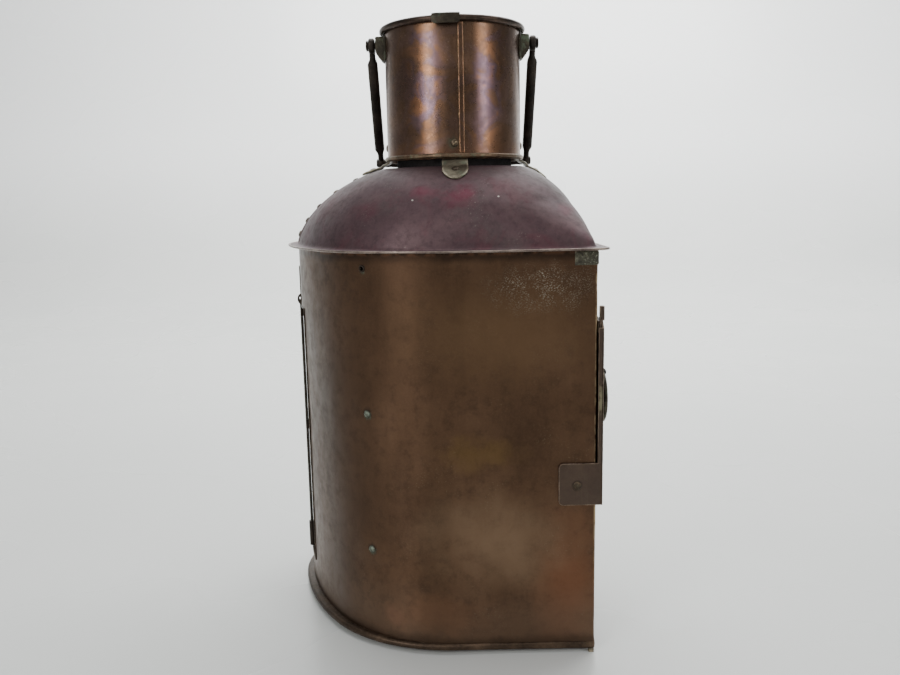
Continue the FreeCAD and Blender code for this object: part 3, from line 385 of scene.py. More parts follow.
SLOT_MAT = {"body_copper": MAT_WALL, "hood_copper": MAT_HOOD, "chimney_copper": MAT_CHIM, "dark_copper": MAT_DARK,
            "socket_sheet": MAT_SOCK, "solder": MAT_SOLDER, "dull_brass": MAT_BRASS, "verdigris_brass": MAT_VERD,
            "dark_iron": MAT_IRON, "lens_glass": MAT_GLASS, "lamp_brass": MAT_LAMP, "tinned_sheet": MAT_TIN,
            "sooted_sheet": MAT_SOOT, "wick_cotton": MAT_WICK}
NODE_SLOT = {s["node"]: s["material_slot"] for s in frame["record"]["subparts"]}
for nname, o in NODES.items():
    m = SLOT_MAT[NODE_SLOT[nname]]
    if len(o.material_slots) == 0:
        o.data.materials.append(m)
    for s in o.material_slots:
        s.material = m

# ------------------------------------------------------------------ plan outline (mm)
XB = 95.2
XC1, YC1 = -5.2, 14.8
R1, R2 = YC1 + XB, 224.7
A1, A2 = -147.0, -170.0


def pol(c, r, a):
    return (c[0] + r * math.cos(rad(a)), c[1] + r * math.sin(rad(a)))


C1 = (XC1, YC1)
_p1 = pol(C1, R1, A1)
C2 = (_p1[0] - R2 * math.cos(rad(A1)), _p1[1] - R2 * math.sin(rad(A1)))
_n = pol(C2, R2, A2)
R3 = -(_n[0] + _n[1]) / (math.cos(rad(A2 + 180)) + math.sin(rad(A2 + 180)))
C3 = (_n[0] - R3 * math.cos(rad(A2)), _n[1] - R3 * math.sin(rad(A2)))
SWEEP3 = 2 * (360 + A2 - 135.0)


def mir(p):
    return (-p[1], -p[0])


def base_outline(rc, step=0.5):
    """Dense (x, y, nx, ny) round the outline, clockwise from the back corner."""
    out = []

    def arc(c, r, a, b, m=False):
        n = max(4, int(abs(rad(b - a)) * r / step))
        seg = []
        for i in range(n):
            an = a + (b - a) * i / n
            p = pol(c, r, an)
            seg.append((p[0], p[1], math.cos(rad(an)), math.sin(rad(an))))
        if m:
            seg = [(-y, -x, -ny, -nx) for x, y, nx, ny in seg][::-1]
        out.extend(seg)

    def line(a, b, nrm):
        n = max(2, int(math.hypot(b[0] - a[0], b[1] - a[1]) / step))
        for i in range(n):
            f = i / n
            out.append((a[0] + f * (b[0] - a[0]), a[1] + f * (b[1] - a[1]), nrm[0], nrm[1]))

    arc((XB - rc, -XB + rc), rc, -45, -90)
    line((XB - rc, -XB), (XC1, -XB), (0, -1))
    arc(C1, R1, -90, A1)
    arc(C2, R2, A1, A2)
    arc(C3, R3, A2, A2 - SWEEP3)
    arc(C2, R2, A1, A2, True)
    arc(C1, R1, -90, A1, True)
    line(mir((XC1, -XB)), (XB, -XB + rc), (1, 0))
    arc((XB - rc, -XB + rc), rc, 0, -45)
    return np.array(out)


class Outline:
    def __init__(self, rc):
        self.p = base_outline(rc)
        d = np.hypot(*(np.roll(self.p[:, :2], -1, 0) - self.p[:, :2]).T)
        self.s = np.r_[0, np.cumsum(d)]
        self.L = self.s[-1]
        self.q = np.vstack([self.p, self.p[:1]])

    def at(self, s, d=0.0):
        s = np.asarray(s, float) % self.L
        c = [np.interp(s, self.s, self.q[:, k]) for k in range(4)]
        nl = np.hypot(c[2], c[3])
        return c[0] + c[2] / nl * d, c[1] + c[3] / nl * d, c[2] / nl, c[3] / nl

    def s_of(self, x, y):
        return float(self.s[np.argmin((self.p[:, 0] - x) ** 2 + (self.p[:, 1] - y) ** 2)])

    def polar(self, d, n=1440):
        x, y = self.p[:, 0] + self.p[:, 2] * d, self.p[:, 1] + self.p[:, 3] * d
        a = np.unwrap(np.arctan2(y, x))
        if a[-1] < a[0]:
            a, x, y = a[::-1], x[::-1], y[::-1]
        r = np.hypot(x, y)
        o = np.argsort((a + 4 * math.pi) % (2 * math.pi))
        aa, rr = ((a + 4 * math.pi) % (2 * math.pi))[o], r[o]
        aa = np.r_[aa - 2 * math.pi, aa, aa + 2 * math.pi]
        rr = np.r_[rr, rr, rr]
        g = np.arange(n) * 2 * math.pi / n
        return np.interp(g, aa, rr)


OUT = Outline(1.4)
OUT9 = Outline(9.0)
OUTRIM = Outline(3.4)
NP = 1440


def blur(tab, sig_deg):
    if sig_deg < 0.05:
        return tab
    n = len(tab)
    k = np.arange(n)
    k = np.minimum(k, n - k) * 360.0 / n
    w = np.exp(-0.5 * (k / sig_deg) ** 2)
    w /= w.sum()
    return np.real(np.fft.ifft(np.fft.fft(tab) * np.fft.fft(w)))


POL0 = OUT9.polar(0.0, NP)
BL = [blur(POL0, float(k)) for k in range(0, 16)]
R_CROWN, Z_CROWN, DP = 50.0, 352.2, 1.6
R_NECK = 44.0
RIM_OUT, RIM_R = 7.6, 0.9


def tab_at(tab, th):
    x = (np.asarray(th, float) % 360.0) / 360.0 * NP
    i = np.floor(x).astype(int) % NP
    f = x - np.floor(x)
    return tab[i] * (1 - f) + tab[(i + 1) % NP] * f


def dome_r(th, z):
    z = np.asarray(z, float)
    u = np.clip((z - 293.6) / (Z_CROWN + 0.6 - 293.6), 0, 1)
    f = 1 - (1 - u ** DP) ** (1 / DP)
    sg = 14.0 * np.clip((z - 296) / 30.0, 0, 1)
    k = np.floor(sg).astype(int)
    w = sg - k
    th, k, w = np.broadcast_arrays(th, k, w)
    R = np.zeros(th.shape)
    for kk in np.unique(k):
        m = k == kk
        R[m] = (1 - w[m]) * tab_at(BL[kk], th[m]) + w[m] * tab_at(BL[min(kk + 1, 15)], th[m])
    return R_CROWN + (R - R_CROWN) * (1 - f)


def dome_z(th, r):
    th, r = np.broadcast_arrays(np.asarray(th, float), np.asarray(r, float))
    lo = np.full(th.shape, 295.0)
    hi = np.full(th.shape, Z_CROWN)
    for _ in range(30):
        m = 0.5 * (lo + hi)
        big = dome_r(th, m) > r
        lo = np.where(big, m, lo)
        hi = np.where(big, hi, m)
    return 0.5 * (lo + hi)


def nz(x, y, z, sc, seed=0.0):
    return noise.noise(Vector((x / sc + seed, y / sc - seed, z / sc + 2 * seed)))


# ------------------------------------------------------------------ mesh helpers
def make(name, verts, faces, body, mat, replaces=(), sharp=40.0, fix=True):
    me = bpy.data.meshes.new(name)
    me.from_pydata([tuple(float(c) * MM for c in v) for v in verts], [], [tuple(int(i) for i in f) for f in faces])
    me.validate()
    if fix:
        bm = bmesh.new()
        bm.from_mesh(me)
        bmesh.ops.remove_doubles(bm, verts=bm.verts, dist=1e-6)
        bmesh.ops.recalc_face_normals(bm, faces=bm.faces)
        bm.to_mesh(me)
        bm.free()
    return finish_obj(name, me, body, mat, replaces, sharp)


def finish_obj(name, me, body, mat, replaces=(), sharp=40.0):
    me.polygons.foreach_set("use_smooth", [True] * len(me.polygons))
    me.set_sharp_from_angle(angle=rad(sharp))
    me.materials.append(mat)
    ob = bpy.data.objects.new(name, me)
    bpy.context.scene.collection.objects.link(ob)
    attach(ob, body)
    if replaces:
        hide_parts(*replaces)
    return ob


class Geo:
    """Collects vertices and faces of one piece."""

    def __init__(self):
        self.v, self.f = [], []

    def grid(self, P, close_u=False, close_v=False, cap_u=False):
        nu, nv = len(P), len(P[0])
        b = len(self.v)
        for row in P:
            self.v.extend([tuple(p) for p in row])
        for i in range(nu if close_u else nu - 1):
            for j in range(nv if close_v else nv - 1):
                i2, j2 = (i + 1) % nu, (j + 1) % nv
                self.f.append((b + i * nv + j, b + i2 * nv + j, b + i2 * nv + j2, b + i * nv + j2))
        if cap_u and close_v:
            self.f.append(tuple(b + j for j in range(nv))[::-1])
            self.f.append(tuple(b + (nu - 1) * nv + j for j in range(nv)))

    def sheet(self, PO, PI, mask, close_u=False):
        """Outer and inner point grids with a mask of kept cells; open edges are closed with strips."""
        nu, nv = len(PO), len(PO[0])
        b = len(self.v)
        for P in (PO, PI):
            for row in P:
                self.v.extend([tuple(p) for p in row])
        off = nu * nv

        def idx(i, j, s):
            return b + s * off + (i % nu) * nv + j
        cu = nu if close_u else nu - 1
        for i in range(cu):
            for j in range(nv - 1):
                if not mask[i][j]:
                    continue
                a, c, d, e = idx(i, j, 0), idx(i + 1, j, 0), idx(i + 1, j + 1, 0), idx(i, j + 1, 0)
                self.f.append((a, c, d, e))
                a2, c2, d2, e2 = idx(i, j, 1), idx(i + 1, j, 1), idx(i + 1, j + 1, 1), idx(i, j + 1, 1)
                self.f.append((e2, d2, c2, a2))

                def open_(ii, jj):
                    if jj < 0 or jj >= nv - 1:
                        return True
                    if close_u:
                        ii %= cu
                    elif ii < 0 or ii >= cu:
                        return True
                    return not mask[ii][jj]
                if open_(i, j - 1):
                    self.f.append((c, a, a2, c2))
                if open_(i, j + 1):
                    self.f.append((e, d, d2, e2))
                if open_(i - 1, j):
                    self.f.append((a, e, e2, a2))
                if open_(i + 1, j):
                    self.f.append((d, c, c2, d2))

    def tube(self, path, radius, seg=16, closed=False, caps=True, flat=None, round_caps=0):
        """A round bar along a path; radius may be a list. flat is not used."""
        P = [Vector(p) for p in path]
        n = len(P)
        rs = radius if isinstance(radius, (list, tuple, np.ndarray)) else [radius] * n
        tans = []
        for i in range(n):
            a = P[(i - 1) % n] if (closed or i > 0) else P[0]
            c = P[(i + 1) % n] if (closed or i < n - 1) else P[-1]
            tans.append((c - a).normalized())
        ref = Vector((0, 0, 1)) if abs(tans[0].z) < 0.9 else Vector((1, 0, 0))
        u = tans[0].cross(ref).normalized()
        rows = []
        for i in range(n):
            u = (u - tans[i] * u.dot(tans[i])).normalized()
            w = tans[i].cross(u)
            rows.append([P[i] + rs[i] * (u * math.cos(2 * math.pi * k / seg) + w * math.sin(2 * math.pi * k / seg))
                         for k in range(seg)])
        self.grid(rows, close_u=closed, close_v=True, cap_u=(caps and not closed))

    def revolve(self, prof, base, axis, seg=24, a0=0.0, a1=360.0, closed_prof=False):
        """prof: (r, h) list; base and axis in mm."""
        ax = Vector(axis).normalized()
        ref = Vector((0, 0, 1)) if abs(ax.z) < 0.9 else Vector((1, 0, 0))
        u = ax.cross(ref).normalized()
        w = ax.cross(u)
        b = Vector(base)
        full = abs(a1 - a0) > 359.9
        n = seg if full else seg + 1
        rows = []
        for k in range(n):
            a = rad(a0 + (a1 - a0) * k / seg)
            d = u * math.cos(a) + w * math.sin(a)
            rows.append([b + ax * h + d * r for r, h in prof])
        self.grid(rows, close_u=full, close_v=closed_prof)

    def rivet(self, base, axis, r, h, seg=18, depth=0.6, tilt=None):
        ax = Vector(axis).normalized()
        prof = [(0.0, -depth), (r * 0.5, -depth), (r * 0.98, -depth), (r, -depth * 0.2), (r, 0.12 * h)]
        for k in range(1, 7):
            a = math.pi / 2 * k / 6
            prof.append((r * math.cos(a) if k < 6 else 0.0, h * (0.12 + 0.88 * math.sin(a))))
        self.revolve(prof, base, ax, seg)

    def obj(self, name, body, slot, mat, replaces=(), sharp=40.0):
        return make(name, self.v, self.f, body, mat, replaces, sharp)


def bevel_prism(name, loop, vec, body, slot, mat, replaces=(), bev=0.4, segs=2, sharp=40.0, holes=()):
    """A closed polygon extruded along vec with rounded edges."""
    bm = bmesh.new()
    vs = [bm.verts.new(Vector(p) * MM) for p in loop]
    f = bm.faces.new(vs)
    r = bmesh.ops.extrude_face_region(bm, geom=[f])
    nv = [g for g in r["geom"] if isinstance(g, bmesh.types.BMVert)]
    bmesh.ops.translate(bm, verts=nv, vec=Vector(vec) * MM)
    bmesh.ops.recalc_face_normals(bm, faces=bm.faces)
    if bev > 0:
        ed = [e for e in bm.edges if e.calc_face_angle(0) > rad(28)]
        bmesh.ops.bevel(bm, geom=ed, offset=bev * MM, segments=segs, profile=0.5, affect="EDGES", clamp_overlap=True)
    me = bpy.data.meshes.new(name)
    bm.to_mesh(me)
    bm.free()
    return finish_obj(name, me, body, mat, replaces, sharp)


def join(objs, name):
    """Merge the meshes of several same-body objects into one new mesh, and remove the objects."""
    dg = [o for o in objs]
    bm = bmesh.new()
    for o in dg:
        bm.from_mesh(o.data)
    me = bpy.data.meshes.new(name)
    bm.to_mesh(me)
    bm.free()
    mats = dg[0].data.materials[:]
    for o in dg:
        bpy.data.objects.remove(o)
    return me, mats


# ------------------------------------------------------------------ wall
def ang3(x, y):
    return math.degrees(math.atan2(y - C3[1], x - C3[0])) % 360


def s_at_ang3(a):
    best = None
    for i in range(len(OUT.p)):
        x, y = OUT.p[i, 0], OUT.p[i, 1]
        if math.hypot(x - C3[0], y - C3[1]) > R3 * 1.25:
            continue
        d = abs((ang3(x, y) - a + 180) % 360 - 180)
        if best is None or d < best[0]:
            best = (d, OUT.s[i])
    return best[1]


Z_L0, Z_L1 = 29.0, 243.0
S_A, S_B = sorted((s_at_ang3(60.0), s_at_ang3(210.0)))
S_ROD = s_at_ang3(360.0 + A2 - 0.5)


def smooth(a, b, x):
    t = min(1.0, max(0.0, (x - a) / (b - a)))
    return t * t * (3 - 2 * t)


def box_mask(v, lo, hi, pad):
    m = 1.0
    for c, a, b in zip(v, lo, hi):
        m *= smooth(a - pad, a, c) * (1 - smooth(b, b + pad, c))
    return m


KEEP = [((60, -100, 105), (100, -90, 150)), ((90, -100, 100), (100, 35, 260)), ((90, -30, 255), (100, 30, 296)),
        ((76, -100, 278), (100, -80, 296)), ((-75, -84, 277), (-58, -70, 288)), ((-72, -82, 172), (-60, -70, 183)),
        ((-72, -82, 69), (-60, -70, 80)), ((-150, 20, 0), (-100, 60, 300)), ((-25, 110, 225), (5, 145, 296))]


def wall_dent(x, y, z):
    k = 1.0
    for lo_, hi_ in KEEP:
        k = min(k, 1.0 - box_mask((x, y, z), lo_, hi_, 9.0))
    k *= smooth(4.6, 16.0, z) * (1 - smooth(282.0, 291.5, z))
    a = nz(x, y, z * 0.55, 52.0, 3.1) * 0.55 + nz(x, y, z, 19.0, 8.7) * 0.18
    return k * min(0.12, -0.22 + a)


def build_wall():
    n_s = int(OUT.L / 1.7)
    S = np.linspace(0, OUT.L, n_s, endpoint=False)
    s_eye = OUT.s_of(*pol(C1, R1, -124.0))
    fixed = [S_A, S_B, S_ROD - 1.6, S_ROD, S_ROD + 1.6, s_eye - 1.4, s_eye + 1.4]
    S = S[np.min([abs(S - f) for f in fixed], axis=0) > 0.9]
    S = np.sort(np.r_[S, fixed, [0.7, 1.4, OUT.L - 0.7, OUT.L - 1.4]])
    Z = np.linspace(4.6, 292.7, 92)
    zf = [Z_L0, Z_L1, 275.0, 280.6, 283.4]
    Z = Z[np.min([abs(Z - f) for f in zf], axis=0) > 1.6]
    Z = np.sort(np.r_[Z, zf])
    X, Y, NX, NY = OUT.at(S)
    PO, PI = [], []
    for i in range(len(S)):
        ro_, ri_ = [], []
        for z in Z:
            d = wall_dent(X[i], Y[i], z)
            ro_.append((X[i] + NX[i] * d, Y[i] + NY[i] * d, z))
            di = d - 1.0
            ri_.append((X[i] + NX[i] * di, Y[i] + NY[i] * di, z))
        PO.append(ro_)
        PI.append(ri_)
    def kept(i, j):
        sm = 0.5 * (S[i] + (S[i + 1] if i + 1 < len(S) else OUT.L))
        zm = 0.5 * (Z[j] + Z[j + 1])
        if S_A <= sm <= S_B and Z_L0 <= zm <= Z_L1:
            return False
        if abs(sm - s_eye) < 1.4 and abs(zm - 282.0) < 1.4:
            return False
        return not (abs(sm - S_ROD) < 1.6 and Z_L1 <= zm <= 275.0)

    mask = [[kept(i, j) for j in range(len(Z) - 1)] for i in range(len(S))]
    g = Geo()
    g.sheet(PO, PI, mask, close_u=True)
    g.obj("wall_sheet_formed", "case", "body_copper", MAT_WALL, ("wall_sheet",), 35.0)


build_wall()
# lighter copper for the bevel faces of the socket pieces: partly rubbed wear, partly a painted highlight along the
# edges
MAT_EDGE_T, MAT_EDGE_WEAR_HIGHLIGHT = patina("copper_edge_wear_and_highlight", lin(78, 64, 54), lin(122, 104, 90), lin(172, 154, 136), rough=(0.30, 0.46),
                              metallic=0.92, blotch=90.0, bump=0.2, streak=0.0, speck=(0.5, lin(90, 70, 56)))


_, MAT_HEM = patina("opening_hem", lin(42, 34, 28), lin(62, 52, 43), lin(120, 106, 92), rough=(0.34, 0.52), metallic=0.8,
                    blotch=120.0, bump=0.2, streak=0.0, small_k=0.3)


def build_hem():
    g = Geo()
    pts = []
    r = 0.62
    a = S_A - 0.45
    b = S_B + 0.45
    z0, z1 = Z_L0 - 0.45, Z_L1 + 0.45
    for z in np.linspace(z0, z1, 60):
        pts.append((a, z))
    for s in np.linspace(a, S_ROD - 2.3, 24)[1:]:
        pts.append((s, z1))
    for z in np.linspace(z1 + 1.5, 273.5, 16):
        pts.append((S_ROD - 2.3, z))
    for k in range(7):
        an = math.pi - math.pi * k / 6
        pts.append((S_ROD + 2.3 * math.cos(an), 274.0 + 1.7 * math.sin(an)))
    for z in np.linspace(273.5, z1 + 1.5, 16):
        pts.append((S_ROD + 2.3, z))
    for s in np.linspace(S_ROD + 2.3, b, 100)[:-1]:
        pts.append((s, z1))
    for z in np.linspace(z1, z0, 60):
        pts.append((b, z))
    for s in np.linspace(b, a, 110)[1:-1]:
        pts.append((s, z0))
    path = []
    for s, z in pts:
        x, y, nx, ny = OUT.at(s, 0.12 + 0.1 * nz(s, z, 0, 14.0, 2.0))
        path.append((float(x), float(y), z))
    g.tube(path, [r * (1 + 0.12 * nz(p[0], p[1], p[2], 9.0, 5.0)) for p in path], 10, closed=True)
    g.obj("lens_opening_hem", "case", "body_copper", MAT_HEM, (), 60.0)


build_hem()


# ------------------------------------------------------------------ foot bead
def bead_d(x, y):
    t_ = min(1.0, max(0.0, (XB - x + XB + y) / 2.0 / 150.0))
    return 0.45 + 5.6 * t_ * t_ * (3 - 2 * t_)


def build_bead():
    n = 620
    S = np.linspace(0, OUT.L, n, endpoint=False)
    rows = []
    for s in S:
        x, y, nx, ny = (float(c) for c in OUT.at(s))
        D = bead_d(x, y)
        w = 0.10 * nz(x, y, 0, 22.0, 6.0)
        prof = [(0.05, 3.0), (max(0.3, D - 1.6), 3.05)]
        rr = min(1.7, D * 0.8)
        for k in range(9):
            a = -math.pi / 2 + math.pi * k / 8
            prof.append((D - rr + rr * math.cos(a), 5.5 + 2.4 * math.sin(a)))
        prof += [(max(0.3, D - 2.2), 8.0), (0.35, 8.15), (0.05, 8.2)]
        rows.append([(x + nx * (d + w * (d > 0.3)), y + ny * (d + w * (d > 0.3)), min(8.2, z + (0.12 * nz(x, y, 9, 30.0, 1.0) if 3.1 < z < 8.1 else 0)))
                     for d, z in prof])
    g = Geo()
    g.grid(rows, close_u=True, close_v=True)
    return g.obj("foot_bead_folded", "case", "body_copper", MAT_BEAD, ("base_bead",), 50.0)


def foot_extra(t, col):
    m = t.spot((-0.125, -0.020, 0.006), (0.075, 0.100, 0.030), 0.9, 0.4, 20.0)
    return t.mix(t.math("MULTIPLY", m, 0.60), col, lin(25, 20, 16))


_, MAT_BEAD = patina("copper_foot", lin(50, 39, 30), lin(72, 58, 46), lin(98, 80, 64), rough=(0.36, 0.54), metallic=0.75,
                     blotch=40.0, bump=0.25, streak=0.0, extra_color=foot_extra, wear=(0.4, lin(140, 116, 94)))
build_bead()


# ------------------------------------------------------------------ hood
def rim_wave(x, y):
    return 0.18 + 0.22 * nz(x, y, 0, 46.0, 12.0) + 0.08 * nz(x, y, 0, 15.0, 4.0)


def dome_dent(th, z, x, y):
    k = smooth(297.0, 306.0, z) * (1 - smooth(346.0, 352.0, z))
    for a in (165.0, 105.0):
        k *= smooth(2.0, 7.0, abs((th - a + 180) % 360 - 180))
    for a in (0.0, 90.0, 180.0, 270.0):
        da = abs((th - a + 180) % 360 - 180)
        if z > 338:
            k *= smooth(9.0, 16.0, da)
    return k * (0.75 * nz(x, y, z, 30.0, 21.0) + 0.3 * nz(x, y, z, 13.0, 31.0) - 0.25)


def build_hood():
    n = 1080
    TH = np.arange(n) * 360.0 / n
    rim = tab_at(OUTRIM.polar(RIM_OUT - RIM_R - 0.1, NP), TH)
    foot_z = [294.6]
    Zs = list(np.linspace(296.6, 344.0, 34)) + [346.0, 348.0, 349.6, 350.8, 351.6, 352.05]
    base_r = dome_r(TH, np.full(n, 294.3))
    PO, PI = [], []
    for i in range(n):
        th = float(TH[i])
        c, s = math.cos(rad(th)), math.sin(rad(th))
        row_o, row_i = [], []
        R0 = float(base_r[i])
        for f in (1.0, 0.66, 0.33):
            r = R0 + 2.2 + (float(rim[i]) - R0 - 2.2) * f
            w = rim_wave(r * c, r * s) * f
            row_o.append((r * c, r * s, 294.6 + w - 0.2 * f))
            row_i.append((r * c, r * s, 293.55 + w * 0.6))
        # small fillet at the dome's foot
        for r, z in ((R0 + 1.5, 294.75), (R0 + 0.6, 295.2), (R0 + 0.12, 295.9)):
            row_o.append((r * c, r * s, z))
            row_i.append(((r - 1.2) * c, (r - 1.2) * s, z - 0.9))
        for z in Zs:
            r = float(dome_r(np.array([th]), np.array([z]))[0])
            d = dome_dent(th, z, r * c, r * s)
            row_o.append(((r + d) * c, (r + d) * s, z))
            rin = max(r + d - 1.1, 45.2)
            row_i.append((rin * c, rin * s, z - 0.9))
        for r in (48.5, 46.5, 44.4):
            zt = 352.2 + 0.25 * nz(r * c, r * s, 0, 18.0, 2.0) * (r > 45)
            row_o.append((r * c, r * s, min(352.4, zt)))
            row_i.append((r * c, r * s, 351.2))
        PO.append(row_o)
        PI.append(row_i)
    g = Geo()
    mask = [[True] * (len(PO[0]) - 1) for _ in range(n)]
    g.sheet(PO, PI, mask, close_u=True)
    g.obj("hood_dome_raised", "hood", "hood_copper", MAT_HOOD, ("hood_dome",), 50.0)


build_hood()


def build_rim():
    n = 700
    S = np.linspace(0, OUTRIM.L, n, endpoint=False)
    path = []
    for s in S:
        x, y, nx, ny = (float(c) for c in OUTRIM.at(s, RIM_OUT - 0.05))
        path.append((x, y, 293.98 + rim_wave(x, y) - 0.12))
    g = Geo()
    g.tube(path, [RIM_R * (0.97 + 0.05 * nz(p[0], p[1], 0, 20.0, 9.0)) for p in path], 12, closed=True)
    g.obj("hood_rim_rolled", "hood", "hood_copper", MAT_RIM, ("hood_rim_wire",), 60.0)


_, MAT_RIM = patina("copper_rim", lin(78, 66, 62), lin(112, 98, 92), lin(160, 146, 136), rough=(0.28, 0.46), metallic=0.85,
                    blotch=50.0, bump=0.2, streak=0.0, speck=(0.5, lin(190, 178, 164)), wear=(0.5, lin(206, 192, 176)))
build_rim()


def dome_pt(th, z, grow=0.0):
    r = float(dome_r(np.array([th]), np.array([z]))[0]) + grow
    return Vector((r * math.cos(rad(th)), r * math.sin(rad(th)), z))


def dome_nrm(th, z):
    a, b = dome_pt(th, z - 0.6), dome_pt(th, z + 0.6)
    t1 = (b - a).normalized()
    t2 = (dome_pt(th + 0.4, z) - dome_pt(th - 0.4, z)).normalized()
    nn = t2.cross(t1).normalized()
    return nn if nn.dot(Vector((math.cos(rad(th)), math.sin(rad(th)), 0))) > 0 else -nn


def build_seams():
    g = Geo()
    gr = Geo()
    for k, a in enumerate((165.0, 105.0)):
        zz = list(np.linspace(296.0, 349.6, 44))
        rows_o, rows_i = [], []
        for z in zz:
            r = float(dome_r(np.array([a]), np.array([z]))[0])
            half = 6.2 + 0.25 * nz(z, k * 9, 0, 9.0, 3.0)
            ro_, ri_ = [], []
            for j, f in enumerate(np.linspace(-1, 1, 11)):
                th = a + math.degrees(f * half / r)
                h = 0.72 if abs(f) < 0.95 else 0.25
                h += 0.05 * nz(z, f * 7, k, 5.0, 2.0)
                p, q = dome_pt(th, z, 0.1 + h), dome_pt(th, z, -0.05)
                ro_.append(p)
                ri_.append(q)
            rows_o.append(ro_)
            rows_i.append(ri_)
        mask = [[True] * 10 for _ in range(len(zz) - 1)]
        g.sheet(rows_o, rows_i, mask)
        for i, z in enumerate((303.0, 314.0, 325.0, 336.0, 345.0)):
            nn = dome_nrm(a, z)
            p = dome_pt(a, z, 0.72)
            gr.rivet(p, nn, 2.65 + 0.15 * nz(z, a, 0, 3.0, 1.0), 1.35 + 0.15 * nz(a, z, 0, 3.0, 4.0), 18)
    g.obj("hood_seam_laps", "hood", "hood_copper", MAT_HOOD, ("hood_seams",), 40.0)
    gr.obj("hood_seam_rivets", "hood", "dark_copper", MAT_RIVET, ("hood_rivets",), 60.0)


_, MAT_RIVET = patina("copper_rivet", lin(44, 37, 29), lin(72, 61, 48), lin(112, 98, 80), rough=(0.34, 0.55), metallic=0.75,
                      blotch=160.0, bump=0.35, streak=0.0, extra_color=lambda t, c: verd(t, c, 0.3), wear=(0.6, lin(190, 168, 136)))
build_seams()

# ------------------------------------------------------------------ chimney
CH_R, CH_Z0, CH_Z1 = 51.0, 357.4, 455.3


def ch_dent(th, z):
    x, y = 51 * math.cos(rad(th)), 51 * math.sin(rad(th))
    k = smooth(361, 374, z) * (1 - smooth(436, 450, z))
    for a in (0.0, 90.0, 180.0, 270.0, -83.9):
        da = abs((th - a + 180) % 360 - 180)
        k *= smooth(4.0, 12.0, da)
    return k * (0.45 * nz(x, y, z * 0.4, 34.0, 41.0) - 0.1)


def build_chimney():
    n = 288
    Z = np.linspace(CH_Z0, CH_Z1, 52)
    PO, PI = [], []
    for i in range(n):
        th = 360.0 * i / n
        c, s = math.cos(rad(th)), math.sin(rad(th))
        o, ii = [], []
        for z in Z:
            r = CH_R + ch_dent(th, z)
            o.append((r * c, r * s, z))
            ii.append(((r - 0.8) * c, (r - 0.8) * s, z))
        PO.append(o)
        PI.append(ii)
    g = Geo()
    g.sheet(PO, PI, [[True] * (len(Z) - 1)] * n, close_u=True)
    g.obj("chimney_rolled", "hood", "chimney_copper", MAT_CHIM, ("chimney_shell",), 50.0)

    for name, node, rc, zc_, rb, mat, cutz in (("chimney_foot_bead", "chimney_bottom_bead", 51.4, 359.3, 1.85, MAT_CBEAD, None),
                                               ("chimney_mouth_bead", "chimney_top_bead", 52.7, 453.0, 2.25, MAT_TBEAD, None)):
        rows = []
        for i in range(300):
            th = 360.0 * i / 300
            c, s = math.cos(rad(th)), math.sin(rad(th))
            w = 0.10 * nz(50 * c, 50 * s, 0, 17.0, 7.0)
            row = []
            for k in range(14):
                a = 2 * math.pi * k / 14
                rb_ = rb * (1 + 0.03 * nz(50 * c, 50 * s, k, 8.0, 7.0))
                row.append((max(51.02, rc - 0.1 + w + rb_ * math.cos(a)), zc_ + min(rb_, rb) * math.sin(a)))
            rows.append([(r * c, r * s, z) for r, z in row])
        g = Geo()
        g.grid(rows, close_u=True, close_v=True)
        g.obj(name, "hood", "chimney_copper", mat, (node,), 60.0)

    g, gs = Geo(), Geo()
    mid, h = -83.9, 2.0
    zz = np.linspace(361.6, 450.2, 60)
    ro_, ri_ = [], []
    for z in zz:
        o, ii = [], []
        for f in np.linspace(-1, 1, 9):
            th = mid + f * (h + 0.05 * nz(z, f, 0, 8.0, 3.0))
            e = 0.7 if abs(f) < 0.9 else 0.45
            c, s = math.cos(rad(th)), math.sin(rad(th))
            o.append(((51.04 + e) * c, (51.04 + e) * s, z))
            ii.append((51.04 * c, 51.04 * s, z))
        ro_.append(o)
        ri_.append(ii)
    g.sheet(ro_, ri_, [[True] * 8] * (len(zz) - 1))
    g.obj("chimney_seam_lap", "hood", "chimney_copper", MAT_CHIM, ("chimney_seam",), 40.0)
    for f in (-1.0, 1.0):
        path, rs = [], []
        for z in np.linspace(361.8, 450.0, 120):
            th = mid + f * (h + 0.25) + 0.10 * nz(z, f * 5, 0, 5.0, 8.0)
            c, s = math.cos(rad(th)), math.sin(rad(th))
            path.append((51.2 * c, 51.2 * s, z))
            rs.append(0.42 * (1 + 0.45 * nz(z, f * 5, 0, 2.2, 8.0)))
        gs.tube(path, rs, 8)
    gs.obj("chimney_seam_solder", "hood", "dull_brass", MAT_GOLD, (), 60.0)


_, MAT_CBEAD = patina("copper_foot_bead", lin(60, 48, 36), lin(92, 74, 58), lin(130, 108, 86), rough=(0.3, 0.5), metallic=0.8,
                      blotch=60.0, bump=0.25, streak=0.0, extra_color=lambda t, c: verd(t, c, 0.35), wear=(0.5, lin(190, 160, 130)))
_, MAT_TBEAD = patina("copper_mouth_bead", lin(40, 31, 27), lin(56, 44, 38), lin(84, 68, 58), rough=(0.30, 0.48), metallic=0.85,
                      blotch=50.0, bump=0.2, streak=0.0, wear=(0.4, lin(140, 118, 98)))
build_chimney()


